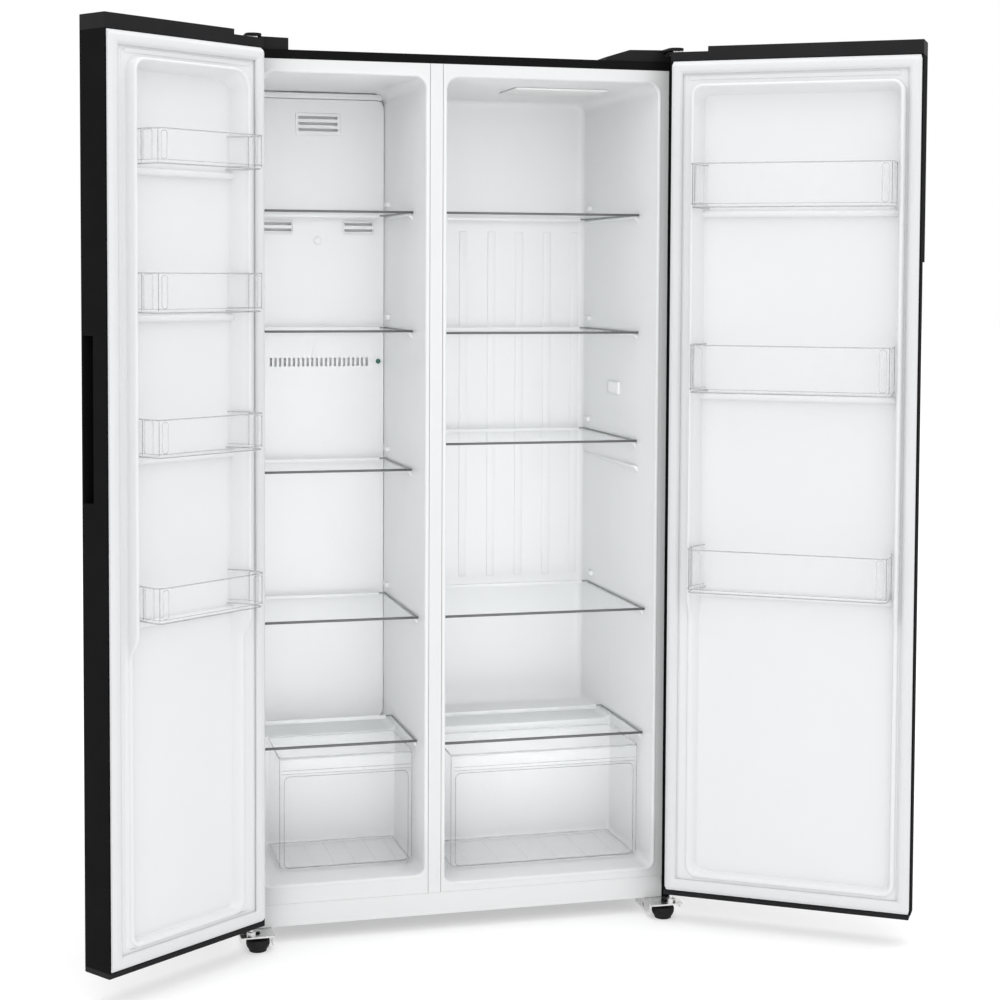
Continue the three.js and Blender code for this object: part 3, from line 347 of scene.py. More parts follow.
EDGE = 4 * MM             # black fold of the door shell beside the white liner
CREST, LOW_CREST = 24 * MM, 3 * MM    # height of the dike beside the bins and below them
DIKE_SPLIT, RAMP = 650 * MM, 43 * MM  # where the dike drops, and over what height
CREST_IN = 10 * MM        # from the dike's outer edge to the recess
RECESS = 28 * MM
RECESS_STEPS = 9          # rings down the slope of the recess
DIKE_RADIUS = 26 * MM
WALL = {"hinge": 24 * MM, "free": 6 * MM, "top": 14 * MM, "bottom": 12 * MM}  # slope of the recess
DIKES = {
    "freezer": {"hinge": 52 * MM, "free": 46 * MM, "top": 1706 * MM, "bottom": 98 * MM},
    "fridge": {"hinge": 44 * MM, "free": 31 * MM, "top": 1704 * MM, "bottom": 98 * MM},
}
HINGE_TOP = {"freezer": 18 * MM, "fridge": 0}  # wider curve of the dike's top corner beside the hinge
# Sections in millimetres: a groove round the rim, the dike's outer slope as (in, share of its height),
# and the foot of the recess as (in, up).
GROOVE = ((23.1, 0), (23.4, -0.5), (24.1, -0.7), (24.8, -0.5), (25.1, 0))
GROOVE_IN = {"freezer": 8, "fridge": 0}
DIKE_SLOPE = ((-1.2, 0.0), (-0.4, 0.02), (0.3, 0.09), (1.0, 0.25), (1.9, 0.62), (2.6, 0.84),
              (3.4, 0.95), (4.6, 1.0), (6.4, 1.0), (7.8, 0.97), (9.0, 0.88), (9.8, 0.78))
RECESS_FOOT = ((2.2, 1.3), (4.6, 0.45), (7.5, 0.0))
LOW_RIBS = {"count": 5, "first": 234, "pitch": 91}    # faint ribs across the low part of the recess


class Door:
    """A door's own frame: u from the hinge side, v from the inner face towards the cabinet, z up."""

    def __init__(self, side):
        joint = joints[f"{side}_door_hinge"]
        hand = -1 if side == "freezer" else 1
        case_low, case_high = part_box("outer_case")
        pin = Vector((joint["pos_m"][0], joint["pos_m"][1], 0))
        swing = math.radians(-joint["range_deg"][0]) * hand
        place = Matrix(((-hand, 0, 0, case_low.x if hand < 0 else case_high.x),
                        (0, 1, 0, case_low.y), (0, 0, 1, 0), (0, 0, 0, 1)))
        self.side, self.body = side, f"{side}_door"
        self.matrix = (Matrix.Translation(pin) @ Matrix.Rotation(swing, 4, "Z")
                       @ Matrix.Translation(-pin) @ place)
        low, high = self.extent(f"{side}_door_shell")
        self.matrix = self.matrix @ Matrix.Translation((0, high.y, 0))
        self.width, self.depth = high.x, high.y - low.y
        self.low, self.high = low.z, high.z

    def extent(self, node):
        """Lowest and highest corner of a CAD node in the door's frame."""
        inverse = self.matrix.inverted()
        points = [inverse @ v.co for v in nodes[node].data.vertices]
        return (Vector(map(min, zip(*points))), Vector(map(max, zip(*points))))

    def dike(self):
        d = DIKES[self.side]
        return d["hinge"], self.width - d["free"], d["bottom"], d["top"]


def crest_height(z):
    return LOW_CREST + (CREST - LOW_CREST) * smoothstep((z - DIKE_SPLIT + RAMP / 2) / RAMP)


def dike_ring(door, inset, height, radius, wall=0.0, top_drop=0.0):
    """A ring that follows the dike's outline; height is a function of z."""
    u0, u1, z0, z1 = door.dike()
    points = round_rect(u0 + inset + wall * WALL["hinge"], u1 - inset - wall * WALL["free"],
                        z0 + inset + wall * WALL["bottom"], z1 - inset - wall * WALL["top"] - top_drop,
                        [max(radius + more, 2 * MM) for more in (0, HINGE_TOP[door.side], 0, 0)],
                        corner=9, sides=(10, 110))
    return [(u, height(z), z) for u, z in points]


def face_ring(door, inset, v, radius=3 * MM):
    points = round_rect(EDGE + inset, door.width - EDGE - inset, door.low + 0.4 * MM + inset,
                        door.high - 0.4 * MM - inset, radius, corner=9, sides=(10, 110))
    return [(u, v, z) for u, z in points]


def door_liner(door):
    """The vacuum formed white liner: a flat rim, a raised dike and the recess that holds the bins."""
    shape = Shape(door.matrix)
    rings = [face_ring(door, 1 * MM, -12 * MM), face_ring(door, 0.2 * MM, -1.2 * MM),
             face_ring(door, 0.5 * MM, -0.4 * MM), face_ring(door, 1.1 * MM, 0)]
    for inset, v in GROOVE:
        rings.append(face_ring(door, (inset + GROOVE_IN[door.side]) * MM, v * MM, 8 * MM))
    for inset, share in DIKE_SLOPE:
        rings.append(dike_ring(door, inset * MM, lambda z, s=share: s * crest_height(z),
                               DIKE_RADIUS - inset * MM))
    for i in range(1, RECESS_STEPS + 1):
        t = i / RECESS_STEPS
        ease = smoothstep(t) * 0.45 + t * 0.55
        rings.append(dike_ring(
            door, CREST_IN,
            lambda z, e=ease: (1 - e) * 0.72 * crest_height(z) - e * (RECESS - 2.6 * MM),
            (16 - 2 * t) * MM, wall=t * 0.94, top_drop=6 * MM * t))
    for inset, lift in RECESS_FOOT:
        rings.append(dike_ring(door, CREST_IN + inset * MM, lambda z, k=lift: k * MM - RECESS,
                               12 * MM, wall=1.0, top_drop=6 * MM))
    shape.loft(rings)

    u0, u1, _, _ = door.dike()
    for i in range(1, BINS[door.side] + 1):
        low, _ = door.extent(f"{door.side}_door_bin_{i}")
        shape.block((u0 + 11 * MM, u1 - 11 * MM), (-RECESS - 3 * MM, -3 * MM),
                    (low.z - 17 * MM, low.z - 4 * MM), 5.5 * MM, 5)
    shape.block((38 * MM, door.width - 44 * MM), (-1 * MM, 1.3 * MM), (1711 * MM, 1720 * MM),
                1.2 * MM, 3)
    span = u1 - u0
    for i in range(LOW_RIBS["count"]):
        z = (i * LOW_RIBS["pitch"] + LOW_RIBS["first"]) * MM
        shape.block((u0 + span * 0.2, u1 - span * 0.26), (-RECESS - 4 * MM, -RECESS + 3.2 * MM),
                    (z - 1 * MM, z + 5 * MM), 2.9 * MM, 4)
    shape.object(f"{door.side}_door_inner_liner", LOOKS["white"], door.body, "white_plastic",
                 [f"{door.side}_door_liner"], smooth=48)


GASKET_SECTION = ((3, 0.3), (20, 0.3), (22.5, 0.9), (23.4, 2.2), (22.0, 3.4), (23.2, 4.8), (22.2, 6.4),
                  (20.6, 7.0), (19.6, 8.2), (17.5, 9.1), (7.5, 9.1), (5.2, 8.3), (4.2, 7.0),
                  (2.2, 6.2), (1.2, 4.8), (2.6, 3.4), (0.4, 2.2), (1.0, 0.9))


def door_gasket(door):
    """Vinyl bellows with the magnet bar in its flat crown, carried round the door."""
    shape = Shape(door.matrix)
    rings = []
    for d, v in GASKET_SECTION:
        inset = (d + 2.5) * MM
        points = round_rect(inset, door.width - inset, door.low + inset, door.high - inset,
                            max(7 * MM - d * MM * 0.2, 2 * MM), corner=5)
        rings.append([(u, v * MM, z) for u, z in points])
    shape.loft(rings, cyclic=True)
    shape.object(f"{door.side}_door_seal", LOOKS["rubber"], door.body, "gasket_rubber",
                 [f"{door.side}_door_gasket"], smooth=40)


def rounded(points, radii, steps=6):
    """A closed outline with each corner turned by a curve; radii gives one radius for each point."""
    out = []
    n = len(points)
    for i, (p, r) in enumerate(zip(points, radii)):
        p = Vector(p)
        before, after = Vector(points[i - 1]), Vector(points[(i + 1) % n])
        to_before, to_after = before - p, after - p
        reach_a = min(r, to_before.length * 0.48)
        reach_b = min(r, to_after.length * 0.48)
        a, b = p + to_before.normalized() * reach_a, p + to_after.normalized() * reach_b
        for k in range(steps + 1):
            t = k / steps
            out.append(tuple(a * (1 - t) ** 2 + p * 2 * t * (1 - t) + b * t * t))
    return out


def shrunk(outline, d):
    """A smooth closed outline moved in by d along its normals."""
    n = len(outline)
    area = sum(outline[i][0] * outline[(i + 1) % n][1] - outline[(i + 1) % n][0] * outline[i][1]
               for i in range(n))
    sign = 1 if area > 0 else -1
    out = []
    for i in range(n):
        a, b = Vector(outline[i - 1]), Vector(outline[(i + 1) % n])
        along = (b - a).normalized()
        out.append((outline[i][0] - along.y * d * sign, outline[i][1] + along.x * d * sign))
    return out


def tub(shape, outline, z0, z1, wall, round_bottom=6 * MM):
    """An open tub with a rounded lower edge and a wall of even thickness."""
    rings = []
    for a in arc(5):
        rings.append([(x, y, z0 + round_bottom * (1 - math.cos(a)))
                      for x, y in shrunk(outline, round_bottom * (1 - math.sin(a)))])
    rings.append([(x, y, z1 - 0.5 * MM) for x, y in outline])
    rings.append([(x, y, z1) for x, y in shrunk(outline, 0.5 * MM)])
    rings.append([(x, y, z1) for x, y in shrunk(outline, wall - 0.5 * MM)])
    rings.append([(x, y, z1 - 0.5 * MM) for x, y in shrunk(outline, wall)])
    inner = round_bottom - wall * 0.5
    for a in reversed(arc(5)):
        rings.append([(x, y, z0 + wall + inner * (1 - math.cos(a)))
                      for x, y in shrunk(outline, wall + inner * (1 - math.sin(a)))])
    shape.loft(rings)


def rim(shape, outline, z, section):
    """A bead along an outline; section holds (outwards, up) points."""
    rings = [[(x, y, z + up) for x, y in shrunk(outline, -out)] for out, up in section]
    shape.loft(rings, cyclic=True)


def bead(radius, sides=8):
    """A round section for rim()."""
    turns = [2 * math.pi * k / sides for k in range(sides)]
    return [(radius * math.cos(a), radius * math.sin(a)) for a in turns]


BIN_WALL = 2.2 * MM
BIN_RADII = [8 * MM, 10 * MM, 10 * MM, 8 * MM, 18 * MM, 18 * MM]


def upright(shape, u, v, z0, z1, radius):
    """A thin vertical line along a corner."""
    shape.bar([(u, v, z0), (u, v, z1)], radius, 6)


def ridge(shape, outline, place, section):
    """A raised line along an upright outline; section holds (out, lift), and place makes each point."""
    shape.loft([[place(a, lift, z) for a, z in shrunk(outline, out)] for out, lift in section],
               cyclic=True)


def door_bin(door, index):
    """A clear bin: rounded tub, thick rims top and bottom, and end hooks that hang on the dike."""
    node = f"{door.side}_door_bin_{index}"
    low, high = door.extent(node)
    a, b, front = low.x, high.x, high.y
    z0, z1 = low.z, high.z
    plan = [(a, CREST), (a + 25 * MM, low.y), (b - 7 * MM, low.y), (b, CREST), (b, front), (a, front)]
    outline = rounded(plan, BIN_RADII)
    body = Shape(door.matrix)
    tub(body, outline, z0, z1, BIN_WALL)
    body.object(f"{node}_tub", LOOKS["clear"], node, "clear_plastic", [node], smooth=40)

    # The rims, end clips and hooks take the edge look, whose greyer colour is painted refraction at the
    # thick clear edges.
    edge = Shape(door.matrix)
    rim(edge, shrunk(outline, 1.1 * MM), z1 - 1.4 * MM, bead(1.35 * MM))
    rim(edge, shrunk(outline, 4.0 * MM), z0 + 1.6 * MM, bead(1.5 * MM))
    # Thin dark bars along the rims and corners of the bin are painted refraction lines.
    line = Shape(door.matrix)
    rim(line, shrunk(outline, 0.6 * MM), z1 - 0.8 * MM, bead(0.55 * MM, 6))
    rim(line, shrunk(outline, 3.2 * MM), z0 + 1.2 * MM, bead(0.6 * MM, 6))
    rim(line, shrunk(outline, 1.0 * MM), z0 + 8 * MM, bead(0.4 * MM, 6))
    for u, v in ((a + 0.9 * MM, CREST + 3 * MM), (b - 0.9 * MM, CREST + 3 * MM),
                 (b - 5.4 * MM, front - 5.4 * MM), (a + 5.4 * MM, front - 5.4 * MM)):
        upright(line, u, v, z0 + 5 * MM, z1 - 1 * MM, 0.6 * MM)
    line.object(f"{node}_corners", LOOKS["painted_refraction_line"], node, "clear_plastic", smooth=50)
    for u_low, u_high in ((a + 9 * MM, a + 29 * MM), (b - 24 * MM, b - 11 * MM)):
        clip = round_rect(u_low, u_high, z0 + 9 * MM, z1 - 5 * MM, 5 * MM, corner=5)
        ridge(edge, clip, lambda u, lift, z: (u, front - 2.2 * MM - lift, z),
              ((-0.9 * MM, 0.2 * MM), (-0.6 * MM, 1.1 * MM), (0.6 * MM, 1.1 * MM), (0.9 * MM, 0.2 * MM)))
    hook_low = z0 + 7 * MM
    for u in (a + 3.4 * MM, b - 3.4 * MM):
        edge.bar([(u, CREST + 5 * MM, hook_low), (u, CREST + 5 * MM, z1 - 5 * MM),
                  (u, CREST + 8 * MM, z1 - 2.4 * MM), (u, front - 22 * MM, z1 - 2.4 * MM),
                  (u, front - 19 * MM, z1 - 5 * MM), (u, front - 19 * MM, hook_low)], 1.2 * MM, 8)
    edge.object(f"{node}_rims", LOOKS["clear_rim_painted_refraction"], node, "clear_plastic", smooth=50)


def door_foam(door):
    """Foam behind the recess, thicker round the rim and clear of the grip pocket."""
    shape = Shape(door.matrix)
    back, floor = 4 * MM - door.depth, -RECESS - 4 * MM
    far = door.width - 32 * MM
    z0, z1 = door.low + 4 * MM, door.high - 4 * MM
    shape.loft([[(u, v, z) for u, z in round_rect(5 * MM + d, far - d, z0 + d, z1 - d, 4 * MM)]
                for v, d in ((back, 2 * MM), (back + 2 * MM, 0), (floor - 2 * MM, 0), (floor, 2 * MM))])
    rings = []
    for v, d in ((floor - 1 * MM, 6 * MM), (-3 * MM, 6 * MM), (-3 * MM, 38 * MM),
                 (floor - 1 * MM, 38 * MM)):
        outline = round_rect(d, door.width - d, door.low + d, door.high - d, 6 * MM)
        rings.append([(u, v, z) for u, z in outline])
    shape.loft(rings, cyclic=True)
    shape.object(f"{door.side}_door_foam_core", LOOKS["foam"], door.body, "rigid_foam",
                 [f"{door.side}_door_foam"])


def doors():
    for side in SIDES:
        door = Door(side)
        door_foam(door)
        door_liner(door)
        door_gasket(door)
        for index in range(1, BINS[side] + 1):
            door_bin(door, index)


# ---------------------------------------------------------------- cabinet


SKIN = 2 * MM             # thickness of a cabinet liner
DRAFT = 9 * MM            # how far each side wall leans in, from the front to the back
OPENING_RADIUS = 16 * MM
TOP_CORNERS = 1.5         # top corners of an opening, against its low ones
STEP_TOP, STEP_FRONT = 350 * MM, 272 * MM    # the step over the machine bay
LIP = 6.5 * MM            # flange of a liner behind the front frame
FILLET, FLOOR_BEND, STEP_BEND, BACK_BEND = 5 * MM, 14 * MM, 3.5 * MM, 16 * MM


class Bay:
    """The clear space of one compartment, worked out from its liner."""

    def __init__(self, side):
        self.side = side
        low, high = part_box(f"{side}_liner")
        self.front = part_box("outer_case")[0].y
        self.x0, self.x1 = low.x + SKIN, high.x - SKIN
        self.z0, self.z1 = low.z + SKIN, high.z - SKIN
        self.depth = high.y - SKIN - self.front

    def lean(self, y):
        return DRAFT * y / self.depth

    def ring(self, y, z0=None, grow=0.0):
        """The bay's outline at a depth, from the height z0 up, and larger all round by grow."""
        lean = self.lean(max(y, 0))
        radii = [max(OPENING_RADIUS * k + grow * 0.6, 1 * MM) for k in (TOP_CORNERS, TOP_CORNERS, 1, 1)]
        points = round_rect(self.x0 + lean - grow, self.x1 - lean + grow,
                            (self.z0 if z0 is None else z0) - grow, self.z1 + grow, radii, corner=8)
        return [(x, self.front + y, z) for x, z in points]

    def wall(self, hand, y):
        """x of the side wall at a depth, on the left for hand -1 and on the right for 1."""
        return self.x0 + self.lean(y) if hand < 0 else self.x1 - self.lean(y)


def cabinet_liner(bay):
    """One liner: its outside from the back to the lip, then its inside from the lip to the back."""
    shape = Shape()
    step, back = STEP_FRONT, BACK_BEND
    rings = [bay.ring(bay.depth + SKIN * 0.5, STEP_TOP, SKIN * 0.5),
             bay.ring(step + 6 * MM, STEP_TOP, SKIN * 0.5), bay.ring(step + 1 * MM, None, SKIN * 0.5),
             bay.ring(3 * MM, None, SKIN), bay.ring(-0.3 * MM, None, LIP),
             bay.ring(-0.5 * MM, None, LIP - 0.4 * MM)]
    rings += [bay.ring(-0.6 * MM + FILLET * (1 - math.cos(a)), None, FILLET * (1 - math.sin(a)))
              for a in arc(7)]
    rings += [bay.ring(step - FLOOR_BEND * (1 - math.sin(a)), bay.z0 + FLOOR_BEND * (1 - math.cos(a)))
              for a in arc(6)]
    rings += [bay.ring(step + STEP_BEND * (1 - math.cos(a)), STEP_TOP - STEP_BEND * (1 - math.sin(a)))
              for a in arc(5)]
    rings += [bay.ring(bay.depth - back * (1 - math.sin(a)), STEP_TOP + back * (1 - math.cos(a)),
                       -back * (1 - math.cos(a)) * 0.98) for a in arc(7)]
    shape.loft(rings)
    for index in range(1, SHELVES + 1):
        ledge(shape, bay, index)
    if bay.side == "fridge":
        back_channels(shape, bay)
        for hand in (-1, 1):
            rail(shape, bay, hand, LEDGE_START + 6 * MM, bay.depth - 20 * MM, SPARE_LEDGE)
    shape.object(f"{bay.side}_inner_liner", LOOKS["white"], "cabinet", "white_plastic",
                 [f"{bay.side}_liner"], smooth=40)


LEDGE_WIDTH, LEDGE_HEIGHT = 7 * MM, 5.4 * MM
LEDGE_START = 100 * MM    # how far behind the cabinet's front the ledges begin
SPARE_LEDGE = 922 * MM    # height of the fridge's ledge that holds no shelf
GUSSET = ((0, 4), (1, 17), (5, 19), (26, 5))    # under a ledge's front end, (back, down) in millimetres


def side_span(bay, hand, y, reach):
    """From inside a side wall to reach in front of it, as the x of a block."""
    wall, bury = bay.wall(hand, y), 3 * MM
    return (wall - bury, wall + reach) if hand < 0 else (wall - reach, wall + bury)


def rail(shape, bay, hand, y0, y1, z):
    """One moulded ledge with a gusset under its front end."""
    span = side_span(bay, hand, (y0 + y1) / 2, LEDGE_WIDTH - 1 * MM)
    shape.block(span, (bay.front + y0, bay.front + y1), (z - LEDGE_HEIGHT, z), 2.2 * MM, 3)
    wall, inner = side_span(bay, hand, y0, LEDGE_WIDTH)[::-hand]
    rings = []
    for along, drop in GUSSET:
        y = bay.front + y0 + along * MM
        rings.append([(inner, y, z - 3 * MM), (inner, y, z - 4 * MM), (wall, y, z - drop * MM),
                      (wall, y, z - 3 * MM)])
    shape.loft(rings)


def ledge(shape, bay, index):
    """Both rails under a shelf, and the stops above its back corners."""
    low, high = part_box(f"{bay.side}_shelf_{index}")
    z = high.z - 4.9 * MM
    front, back = low.y - bay.front, high.y - bay.front
    start = max(LEDGE_START, front + 12 * MM) if index < SHELVES - 1 else front + 16 * MM
    for hand in (-1, 1):
        rail(shape, bay, hand, start, back, z)
        if index < SHELVES:
            span = side_span(bay, hand, back - 30 * MM, 8 * MM)
            shape.block(span, (bay.front + back - 46 * MM, bay.front + back - 12 * MM),
                        (z + 20 * MM, z + 31 * MM), 3.4 * MM, 4)


def back_channels(shape, bay):
    """Shallow upright ribs on the back wall, between the first shelf and the fourth."""
    y = bay.front + bay.depth
    for i in range(5):
        x = bay.x0 + (150 + i * 65) * MM
        if x < bay.x1 - 24 * MM:
            shape.block((x - 9 * MM, x + 9 * MM), (y - 1.5 * MM, y + 1 * MM), (640 * MM, 1418 * MM),
                        2 * MM, 3)


def front_frame():
    """White front frame in three plates: left, mullion cover and right, with fine seams between them."""
    low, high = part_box("front_frame")
    bays = [Bay(side) for side in SIDES]
    edges = [low.x, bays[0].x1 + 8.5 * MM, bays[1].x0 - 8.5 * MM, high.x]
    gap = 0.45 * MM
    bm = bmesh.new()
    for plate in range(3):
        x0 = edges[plate] + (gap if plate else 0)
        x1 = edges[plate + 1] - (gap if plate < 2 else 0)
        outline = [(x0, low.z), (x1, low.z), (x1, high.z), (x0, high.z)]
        holes = [bay for bay in bays if x0 < (bay.x0 + bay.x1) / 2 < x1]
        radii = [OPENING_RADIUS * k + 2 * MM for k in (TOP_CORNERS, TOP_CORNERS, 1, 1)]
        loops = [outline] + [round_rect(b.x0 - 3 * MM, b.x1 + 3 * MM, b.z0 - 3 * MM, b.z1 + 3 * MM,
                                        radii, corner=8) for b in holes]
        made = []
        for loop in loops:
            verts = [bm.verts.new((x, low.y, z)) for x, z in loop]
            for i, v in enumerate(verts):
                made.append(bm.edges.new((v, verts[(i + 1) % len(verts)])))
        bmesh.ops.triangle_fill(bm, use_beauty=True, edges=made)
    solid = bmesh.ops.extrude_face_region(bm, geom=bm.faces[:])
    for v in (g for g in solid["geom"] if isinstance(g, bmesh.types.BMVert)):
        v.co.y = high.y
    bmesh.ops.recalc_face_normals(bm, faces=bm.faces)
    bm.verts.index_update()
    faces = []
    for face in bm.faces:
        loop = [v.index for v in face.verts]
        first = loop.index(min(loop))
        faces.append(loop[first:] + loop[:first])
    mesh = bpy.data.meshes.new("front_frame_plates")
    # Sorted, since the fill gives the same faces in another order at each run.
    mesh.from_pydata([v.co[:] for v in bm.verts], [], sorted(faces))
    bm.free()
    mesh.materials.append(LOOKS["frame"])
    smooth_faces(mesh, 30)
    piece = linked("front_frame_plates", mesh)
    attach(piece, "cabinet")
    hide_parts("front_frame")


GLASS = 4 * MM
GROUND_EDGE = ((0.0, 0.1), (0.25, 0.6), (0.25, 3.4), (0.0, 3.9), (-0.9, 3.9), (-0.9, 0.1))


def shelf(bay, index):
    """A glass pane with ground edges, a grey front trim and a white rear rail."""
    node = f"{bay.side}_shelf_{index}"
    low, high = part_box(node)
    y0, y1 = low.y, high.y
    top = high.z - 0.4 * MM
    under = top - GLASS
    clear = 1.3 * MM
    fl, fr = bay.wall(-1, y0 - bay.front) + clear, bay.wall(1, y0 - bay.front) - clear
    bl, br = bay.wall(-1, y1 - bay.front) + clear, bay.wall(1, y1 - bay.front) - clear
    outline = rounded([(fl + 2 * MM, y0 + 6 * MM), (fr - 2 * MM, y0 + 6 * MM), (br, y1 - 3 * MM),
                       (bl, y1 - 3 * MM)], [3 * MM] * 4, 4)
    pane = Shape()
    pane.loft([[(x, y, z) for x, y in shrunk(outline, d)] for z, d in
               ((under, 0.5 * MM), (under + 0.5 * MM, 0), (top - 0.5 * MM, 0), (top, 0.5 * MM))])
    pane.object(f"{node}_pane", LOOKS["glass"], node, "clear_glass", [node], smooth=30)
    edge = Shape()
    rim(edge, outline, under, [(out * MM, up * MM) for out, up in GROUND_EDGE])
    edge.object(f"{node}_ground_edge", LOOKS["glass_edge"], node, "clear_glass", smooth=40)
    trim = Shape()
    trim.block((fl + 0.5 * MM, fr - 0.5 * MM), (y0, y0 + 7 * MM), (under - 0.3 * MM, high.z),
               1.4 * MM, 3)
    trim.object(f"{node}_front_trim", LOOKS["trim"], node, "black_plastic", smooth=40)
    rear = Shape()
    notch = 13 * MM
    rear.block((bl + notch, br - notch), (y1 - 9 * MM, y1 - 0.5 * MM), (low.z + 1 * MM, high.z),
               1.6 * MM, 3)
    rear.object(f"{node}_rear_rail", LOOKS["white"], node, "white_plastic", smooth=40)


DRAWER_WALL = 2.4 * MM
FLOOR_RIBS = 6
GRIP_LOW = 33 * MM        # lower edge of the grip band, down from the drawer's top


def drawer(node):
    """A clear drawer: rounded tub, grip band along the top of its front and a framed window below."""
    low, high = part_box(node)
    band_y = low.y
    x0, x1, y0, y1 = low.x, high.x, low.y + 7 * MM, high.y
    z0, z1 = low.z, high.z
    outline = rounded([(x0, y0), (x1, y0), (x1 - 3 * MM, y1), (x0 + 3 * MM, y1)],
                      [14 * MM, 14 * MM, 12 * MM, 12 * MM], 7)
    body = Shape()
    tub(body, outline, z0, z1, DRAWER_WALL, 9 * MM)
    for i in range(FLOOR_RIBS):
        x = x0 + (x1 - x0) * (i + 0.75) / (FLOOR_RIBS + 0.5)
        body.block((x - 2 * MM, x + 2 * MM), (y0 + 24 * MM, y1 - 24 * MM), (z0 + 2 * MM, z0 + 4.2 * MM),
                   1 * MM, 2)
    body.object(f"{node}_tub", LOOKS["clear"], node, "clear_plastic", [node], smooth=40)
    # The rims and the lip above the grip band take the edge look, whose greyer colour is painted
    # refraction.
    edge = Shape()
    rim(edge, shrunk(outline, 1.2 * MM), z1 - 2.2 * MM, bead(1.8 * MM))
    rim(edge, shrunk(outline, 5.0 * MM), z0 + 2.6 * MM, bead(1.8 * MM))
    edge.block((x0 + 3 * MM, x1 - 3 * MM), (band_y, y0 + 1 * MM), (z1 - 4 * MM, z1 - 1.4 * MM),
               1.2 * MM, 3)
    edge.object(f"{node}_rims", LOOKS["clear_rim_painted_refraction"], node, "clear_plastic", smooth=45)
    grip = Shape()
    grip.block((x0 + 3 * MM, x1 - 3 * MM), (band_y, band_y + 2.4 * MM), (z1 - GRIP_LOW, z1 - 3 * MM),
               1.0 * MM, 3)
    grip.object(f"{node}_grip", LOOKS["clear"], node, "clear_plastic", smooth=45)
    # The dark window frame, grip band lines and corner bars are painted refraction lines.
    line = Shape()
    window = round_rect(x0 + 11 * MM, x1 - 11 * MM, z0 + 4 * MM, z1 - 40 * MM, 11 * MM, corner=6)
    ridge(line, window, lambda x, lift, z: (x, y0 - lift, z),
          ((-0.5 * MM, 0.2 * MM), (-0.35 * MM, 0.9 * MM), (0.35 * MM, 0.9 * MM), (0.5 * MM, 0.2 * MM)))
    for z in (z1 - GRIP_LOW, z1 - GRIP_LOW + 7 * MM):
        line.bar([(x0 + 6 * MM, band_y + 0.7 * MM, z), (x1 - 6 * MM, band_y + 0.7 * MM, z)],
                 0.45 * MM, 6)
    for x in (x0 + 2.5 * MM, x1 - 2.5 * MM):
        upright(line, x, y0 + 4 * MM, z0 + 8 * MM, z1 - 3 * MM, 0.5 * MM)
    line.object(f"{node}_corners", LOOKS["painted_refraction_line"], node, "clear_plastic", smooth=50)


LAMP_RIBS = 24
SENSOR_Y, SENSOR_Z = (222 * MM, 300 * MM), (1064 * MM, 1092 * MM)    # place on the fridge's right wall
SENSOR_SLOTS = 7


def fridge_fittings(bay):
    """The ribbed lamp cover under the ceiling and the slotted sensor cover on the right wall."""
    low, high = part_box("fridge_lamp")
    lamp = Shape()
    lamp.block((low.x, high.x), (low.y, high.y), (low.z + 9.5 * MM, high.z), 2 * MM, 4)
    pitch = (high.x - low.x - 16 * MM) / LAMP_RIBS
    for i in range(LAMP_RIBS):
        x = low.x + 8 * MM + i * pitch
        lamp.block((x, x + pitch * 0.6), (low.y + 8 * MM, high.y - 8 * MM),
                   (low.z + 8.7 * MM, low.z + 10 * MM), 0.6 * MM, 2)
    lamp.object("fridge_lamp_cover", LOOKS["lamp"], "cabinet", "lamp_diffuser", ["fridge_lamp"])
    sensor = Shape()
    y0, y1 = (bay.front + y for y in SENSOR_Y)
    x0, x1 = side_span(bay, 1, 260 * MM, 5 * MM)
    sensor.block((x0, x1), (y0, y1), SENSOR_Z, 3.5 * MM, 4)
    for i in range(SENSOR_SLOTS):
        y = y0 + (12 + i * 8.5) * MM
        sensor.block((x0 - 0.9 * MM, x0 + 1 * MM), (y, y + 3.4 * MM),
                     (SENSOR_Z[0] + 5 * MM, SENSOR_Z[1] - 5 * MM), 0.8 * MM, 2)
    sensor.object("fridge_sensor_cover", LOOKS["white"], "cabinet", "white_plastic")


LOW_VENTS = (-373 * MM, -197 * MM)    # middles of the two lower vents of the evaporator cover
LOW_VENT_Z = (1407 * MM, 1434 * MM)
BOSS_Z = 1392 * MM
PLUG = (-154 * MM, 1133 * MM)         # x and z of the green plug
# Turned and drawn sections in millimetres.
VENT_FRAME = ((-1.2, 1), (-1.2, -0.2), (-0.7, -0.8), (0.7, -0.8), (1.2, -0.2), (1.2, 1))
BOSS_PROFILE = ((0.1, -0.3), (6, -0.3), (6.8, -1.4), (8, -1.4), (8.8, -0.5), (8.8, 1), (0.1, 1))
PLUG_PROFILE = ((0.1, -6), (4.4, -6), (5.2, -5), (5.2, -2.6), (4.2, -1.6), (4.2, 2), (0.1, 2))


def millimetres(profile):
    return [(r * MM, h * MM) for r, h in profile]


